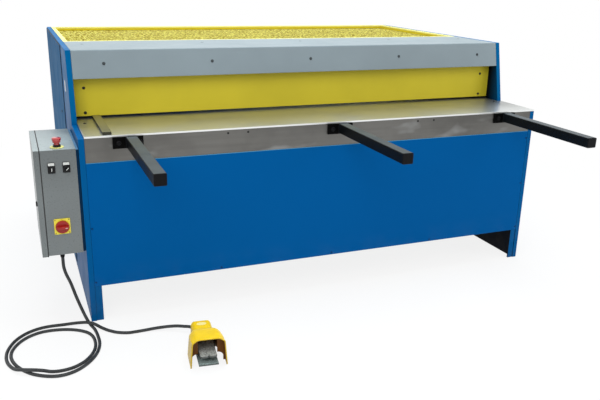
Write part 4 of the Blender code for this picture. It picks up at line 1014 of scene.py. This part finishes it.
def make_stop_button():
    here = centre("stop_button_collar")
    here.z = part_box("stop_button_collar")[0].z
    place = Matrix.Translation(here)
    collar = [(0.0, 0.0), (0.0278, 0.0), (0.028, 0.0004), (0.028, 0.002), (0.0272, 0.0028),
              (0.0215, 0.003), (0.0211, 0.0025), (0.0205, 0.0025), (0.0201, 0.003), (0.0, 0.003)]
    add_piece("stop_collar", turned(collar, place, 72), "collar_pale",
              replaces=("stop_button_collar",))
    sleeve = [(0.0, 0.0025), (0.0172, 0.0025), (0.0172, 0.0052), (0.016, 0.0064), (0.015, 0.0064),
              (0.015, 0.0114), (0.0145, 0.012), (0.0124, 0.012), (0.0122, 0.0118), (0.0122, 0.0032),
              (0.0, 0.0032)]
    add_piece("stop_sleeve", turned(sleeve, place, 72), "black_plastic")
    low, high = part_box("stop_button")
    foot, crown = low.z - here.z, high.z - here.z
    head = crown - STOP_HEAD
    rows = [(0.0, foot), (0.0108, foot), (0.0112, foot + 0.0004), (0.0112, head), (0.0146, head),
            (0.0158, head + 0.0006), (0.0168, head + 0.0026), (0.0174, head + 0.01),
            (0.019, head + 0.0132), (0.019, crown - 0.005)]
    for step in range(1, 7):
        angle = math.pi / 2 * step / 6
        rows.append((0.013 + 0.006 * math.cos(angle), crown - 0.005 + 0.004 * math.sin(angle)))
    rows += [(0.009, crown - 0.0004), (0.0, crown)]
    add_piece("stop_mushroom", turned(rows, place, 72), "red_plastic", "stop_button",
              ("stop_button",))


def make_selectors():
    for name, turn in (("left_selector", 0.0), ("right_selector", -45.0)):
        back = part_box(name + "_plate")[1].y
        knob = centre(name + "_knob")
        here = facing((knob.x, back, knob.z), TO_FRONT)
        body = centre(name + "_plate")
        middle = facing((body.x, back, body.z), TO_FRONT)
        shell = flat(rounded(0.03, 0.046, 0.003), middle, 0.0, 0.003)
        lathe(shell, [(0.0, 0.0025), (0.014, 0.0025), (0.014, 0.0058), (0.0132, 0.0068), (0.0118, 0.007),
                      (0.0, 0.007)], here, 60)
        add_piece(name + "_body", shell, "black_plastic", replaces=(name + "_plate",),
                  edge=0.0005)
        legend = flat(rounded(0.025, 0.011, 0.001), shifted(middle, 0.0, 0.016), 0.0026, 0.0034)
        add_piece(name + "_legend", legend, "white_label", edge=0.0002)
        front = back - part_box(name + "_knob")[0].y
        seat = front - KNOB_DEPTH
        aim = here @ Matrix.Rotation(math.radians(turn), 4, "Z")
        shell = turned([(0.0, seat), (0.0115, seat), (0.0115, seat + 0.0036), (0.0101, seat + 0.005),
                        (0.0, seat + 0.005)], aim, 60)
        plate(shell, rounded(0.008, 0.0218, 0.0036), aim, seat + 0.003, front)
        add_piece(name + "_grip", shell, "black_plastic", name + "_knob", (name + "_knob",),
                  edge=0.0008)
        pointer = flat(rounded(0.0024, 0.013, 0.001), shifted(aim, 0.0, 0.0034), front - 0.0004,
                       front + 0.0002)
        add_piece(name + "_pointer", pointer, "white_label", name + "_knob")


def make_main_switch():
    low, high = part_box("main_switch_plate")
    thick = high.y - low.y
    face = centre("main_switch_plate")
    face.y = high.y
    here = facing(face, TO_FRONT)
    shown = shifted(here, 0.0, SWITCH_FACE_LIFT)
    shell = flat(rounded(*SWITCH_FACE, 0.004), shown, 0.0, thick)
    lathe(shell, [(0.03, thick - 0.0004), (0.0312, thick - 0.0004), (0.0312, thick + 0.0006),
                  (0.03, thick + 0.0006), (0.03, thick - 0.0004)], here, 72)
    add_piece("main_switch_face", shell, "collar_yellow",
              replaces=("main_switch_plate",), edge=0.0004)
    corners = [shifted(shown, x, y, thick) for x, y in product(*SWITCH_SCREWS)]
    screws("main_switch_screws", corners, 0.0022, washer=False)
    handle_low, handle_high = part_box("main_switch_handle")
    seat, front = high.y - handle_high.y, high.y - handle_low.y
    shell = turned([(0.0, seat), (0.0262, seat), (0.027, seat + 0.0006), (0.028, seat + 0.001),
                    (0.028, seat + 0.0062), (0.0268, seat + 0.0082), (0.0252, seat + 0.009),
                    (0.019, seat + 0.0084), (0.0, seat + 0.0084)], here, 72)
    grip = ((0.006, 0.014, 0.05), (0.014, 0.0134, 0.0494), (0.022, 0.0126, 0.0484),
            (0.024, 0.0118, 0.0474), (0.025, 0.0096, 0.0448))
    loft(shell, [[(x, y, seat + height) for x, y in rounded(length, width, 0.0046, 5)]
                 for height, width, length in grip], here)
    add_piece("main_switch_dial", shell, "dial_red", "main_switch_handle",
              ("main_switch_handle",))
    pointer = flat(rounded(0.011, 0.0016, 0.0007), shifted(here, 0.016, 0.0), front - 0.0006,
                   front + 0.0002)
    add_piece("main_switch_pointer", pointer, "white_label", "main_switch_handle")
    for name, sign, x, y in MARKS:
        text = bpy.data.curves.new(name, "FONT")
        text.body = sign
        text.size = MARK_SIZE
        text.extrude = 0.0003
        text.align_x = "CENTER"
        text.align_y = "CENTER"
        holder = bpy.data.objects.new("holder", text)
        shell = bmesh.new()
        shell.from_mesh(holder.to_mesh())
        holder.to_mesh_clear()
        bpy.data.objects.remove(holder)
        bmesh.ops.remove_doubles(shell, verts=shell.verts, dist=0.00001)
        place = shifted(here, x, y, thick + 0.0002)
        bmesh.ops.transform(shell, matrix=place, verts=shell.verts)
        add_piece("main_switch_" + name, shell, "screw_dark")


def frame_of(outlines):
    """Closed band through outlines, each at its own place along X."""
    shell = bmesh.new()
    rings = [[shell.verts.new((x, y, z)) for y, z in outline] for x, outline in outlines]
    skin(shell, rings + rings[:1])
    return shell


def box_outline(low_y, low_z, high_y, high_z):
    return [(low_y, low_z), (high_y, low_z), (high_y, high_z), (low_y, high_z)]


def make_cabinet_trim():
    low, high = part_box("cabinet_door")
    body_low, body_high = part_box("control_cabinet")
    front, rear = body_low.y, body_low.y + CABINET_DEPTH
    # The mount plate's near-black finish is painted shade in the gap between the cabinet and the frame.
    shell = brick((LEFT - MOUNT_THICKNESS, front + 0.003, body_low.z + 0.004),
                  (LEFT - SEAT, rear - 0.003, body_high.z - 0.004))
    add_piece("cabinet_mount", shell, "mount_shade_blue", edge=0.001)
    inner = low.x + DOOR_THICKNESS
    outer = inner + GASKET_THICKNESS
    rim = box_outline(front + 0.0002, low.z + 0.0002, rear - 0.0024, high.z - 0.0002)
    lip = box_outline(front - GASKET_PROUD, low.z - GASKET_PROUD, rear - 0.0022, high.z + GASKET_PROUD)
    hole = box_outline(front + 0.0095, low.z + 0.011, rear - 0.0095, high.z - 0.0095)
    shell = frame_of(((inner - GASKET_WRAP, lip), (outer, lip), (outer, hole), (inner + 0.0001, hole),
                      (inner + 0.0001, rim), (inner - GASKET_WRAP, rim)))
    add_piece("door_gasket", shell, "rubber_black", "cabinet_door")

    lock = centre("door_lock")
    lock.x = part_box("door_lock")[1].x
    here = facing(lock, TO_LEFT)
    body = [(0.0, 0.0), (0.011, 0.0), (0.011, 0.0036), (0.01, 0.0056), (0.009, 0.006), (0.0072, 0.006),
            (0.0068, 0.005), (0.0, 0.005)]
    add_piece("door_lock_body", turned(body, here, 48), "black_plastic", "cabinet_door",
              ("door_lock",))
    shell = turned(disc(0.003, 0.0046, 0.006, 0.0004, 0.0003), here, 24)
    plate(shell, rounded(0.0026, 0.0118, 0.0012, 3), here, 0.0046, 0.0056)
    add_piece("door_lock_key", shell, "screw_dark", "cabinet_door")


def make_side_trim():
    """Seals round the side covers, and the blank plate and the plug on the left side."""
    for side in ("left", "right"):
        low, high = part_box(side + "_side_cover")
        mid = (low + high) / 2
        outlines = []
        for grow in (SEAL_WIDTH, 0.0002):
            outline = rounded(high.y - low.y + 2 * grow, high.z - low.z + 2 * grow, COVER_CORNER + grow, 4)
            outlines.append([(mid.y + y, mid.z + z) for y, z in outline])
        outer, inner = outlines
        near, far = low.x + 0.0003, high.x - 0.0002
        shell = frame_of(((near, outer), (far, outer), (far, inner), (near, inner)))
        add_piece(side + "_cover_seal", shell, "rubber_black")
    label = flat(rounded(0.05, 0.05, 0.002, 3), facing(spot(0.0, *FRAME_LABEL), TO_LEFT), -0.0002, 0.0008)
    add_piece("frame_label", label, "white_label", edge=0.0002)
    plug = [(0.0, -0.0005), (0.007, -0.0005), (0.007, 0.0012), (0.006, 0.0024), (0.003, 0.003),
            (0.0, 0.0031)]
    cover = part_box("left_side_cover")[0].x - LEFT
    add_piece("side_cover_plug", turned(plug, facing(spot(cover, *COVER_PLUG), TO_LEFT), 36),
              "black_plastic")


def dress(node, material):
    """Gives a solid its finish and soft edges that catch the light."""
    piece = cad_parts[node]
    for slot in piece.material_slots:
        slot.material = material
    weld = piece.modifiers.new("weld", "WELD")
    weld.merge_threshold = 0.00002
    merge = piece.modifiers.new("merge", "DECIMATE")
    merge.decimate_type = "DISSOLVE"
    merge.angle_limit = math.radians(0.5)
    soften(piece, SOLID_EDGE, 40.0)


def white_where_seen(g, lit, white, output, share=1.0):
    """Plain white for what the camera, mirrors and glass see, and the lit surface for the rest."""
    path = g.node("ShaderNodeLightPath", {}).outputs
    seen = g.most(path["Is Camera Ray"], path["Is Glossy Ray"], path["Is Transmission Ray"])
    mixed = g.node("ShaderNodeMixShader", {0: g.times(seen, share), 1: lit.outputs[0], 2: white.outputs[0]})
    g.feed(g.tree.nodes[output].inputs["Surface"], mixed.outputs[0])


def make_floor():
    """Pale floor, white where it is open to the light, with the machine's shadow on it."""
    mesh = bpy.data.meshes.new("floor")
    corners = [(x * FLOOR_REACH, y * FLOOR_REACH, 0.0) for x, y in ((-1, -1), (1, -1), (1, 1), (-1, 1))]
    mesh.from_pydata(corners, [], [(0, 1, 2, 3)])
    floor = placed("floor", mesh)
    g = graph("floor")
    g.finish(FLOOR_COLOUR, 0.9)
    white = g.node("ShaderNodeEmission", {"Color": WHITE, "Strength": 1.0})
    spread = g.node("ShaderNodeVectorMath", {0: g.place}, operation="LENGTH").outputs["Value"]
    off_middle = g.maths("SUBTRACT", g.axis(g.place, "X"), LEFT + FRAME_SPAN / 2)
    beside = g.span(g.maths("ABSOLUTE", off_middle), FRAME_SPAN / 2 - 0.05, FRAME_SPAN / 2)
    before = g.behind(0.56, 0.42)
    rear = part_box("rear_panel")[0].y - FRONT
    share = g.times(g.span(spread, 1.2, 3.4, 0.84, 1.0), g.most(beside, before, g.behind(rear - 0.05, rear)))
    white_where_seen(g, g.shader, white, "Material Output", share)
    mesh.materials.append(MATERIALS["floor"])


def make_studio():
    """White surroundings and soft studio lamps."""
    world = bpy.data.worlds.new("studio")
    bpy.context.scene.world = world
    g = Graph(world)
    ambient = g.tree.nodes["Background"]
    ambient.inputs["Color"].default_value, ambient.inputs["Strength"].default_value = AMBIENT
    backdrop = g.node("ShaderNodeBackground", {"Color": WHITE, "Strength": 1.0})
    white_where_seen(g, ambient, backdrop, "World Output")
    for name, place, width, power, colour in LAMPS:
        data = bpy.data.lights.new(name, "AREA")
        data.size = width
        data.energy = power
        data.color = colour
        lamp = placed(name, data)
        lamp.location = place
        lamp.rotation_euler = (Vector(LAMP_AIM) - Vector(place)).to_track_quat("-Z", "Y").to_euler()
        lamp.visible_glossy = False


make_camera()
make_cable()
make_glands()
make_hood()
make_stop_button()
make_selectors()
make_main_switch()
make_cabinet_trim()
make_guard_mesh()
make_fasteners()
make_brackets()
make_side_trim()
for finish_name, nodes in CAD_FINISHES.items():
    for node_name in nodes:
        dress(node_name, MATERIALS[finish_name])
make_floor()
make_studio()

bpy.context.scene.view_settings.view_transform = "Standard"
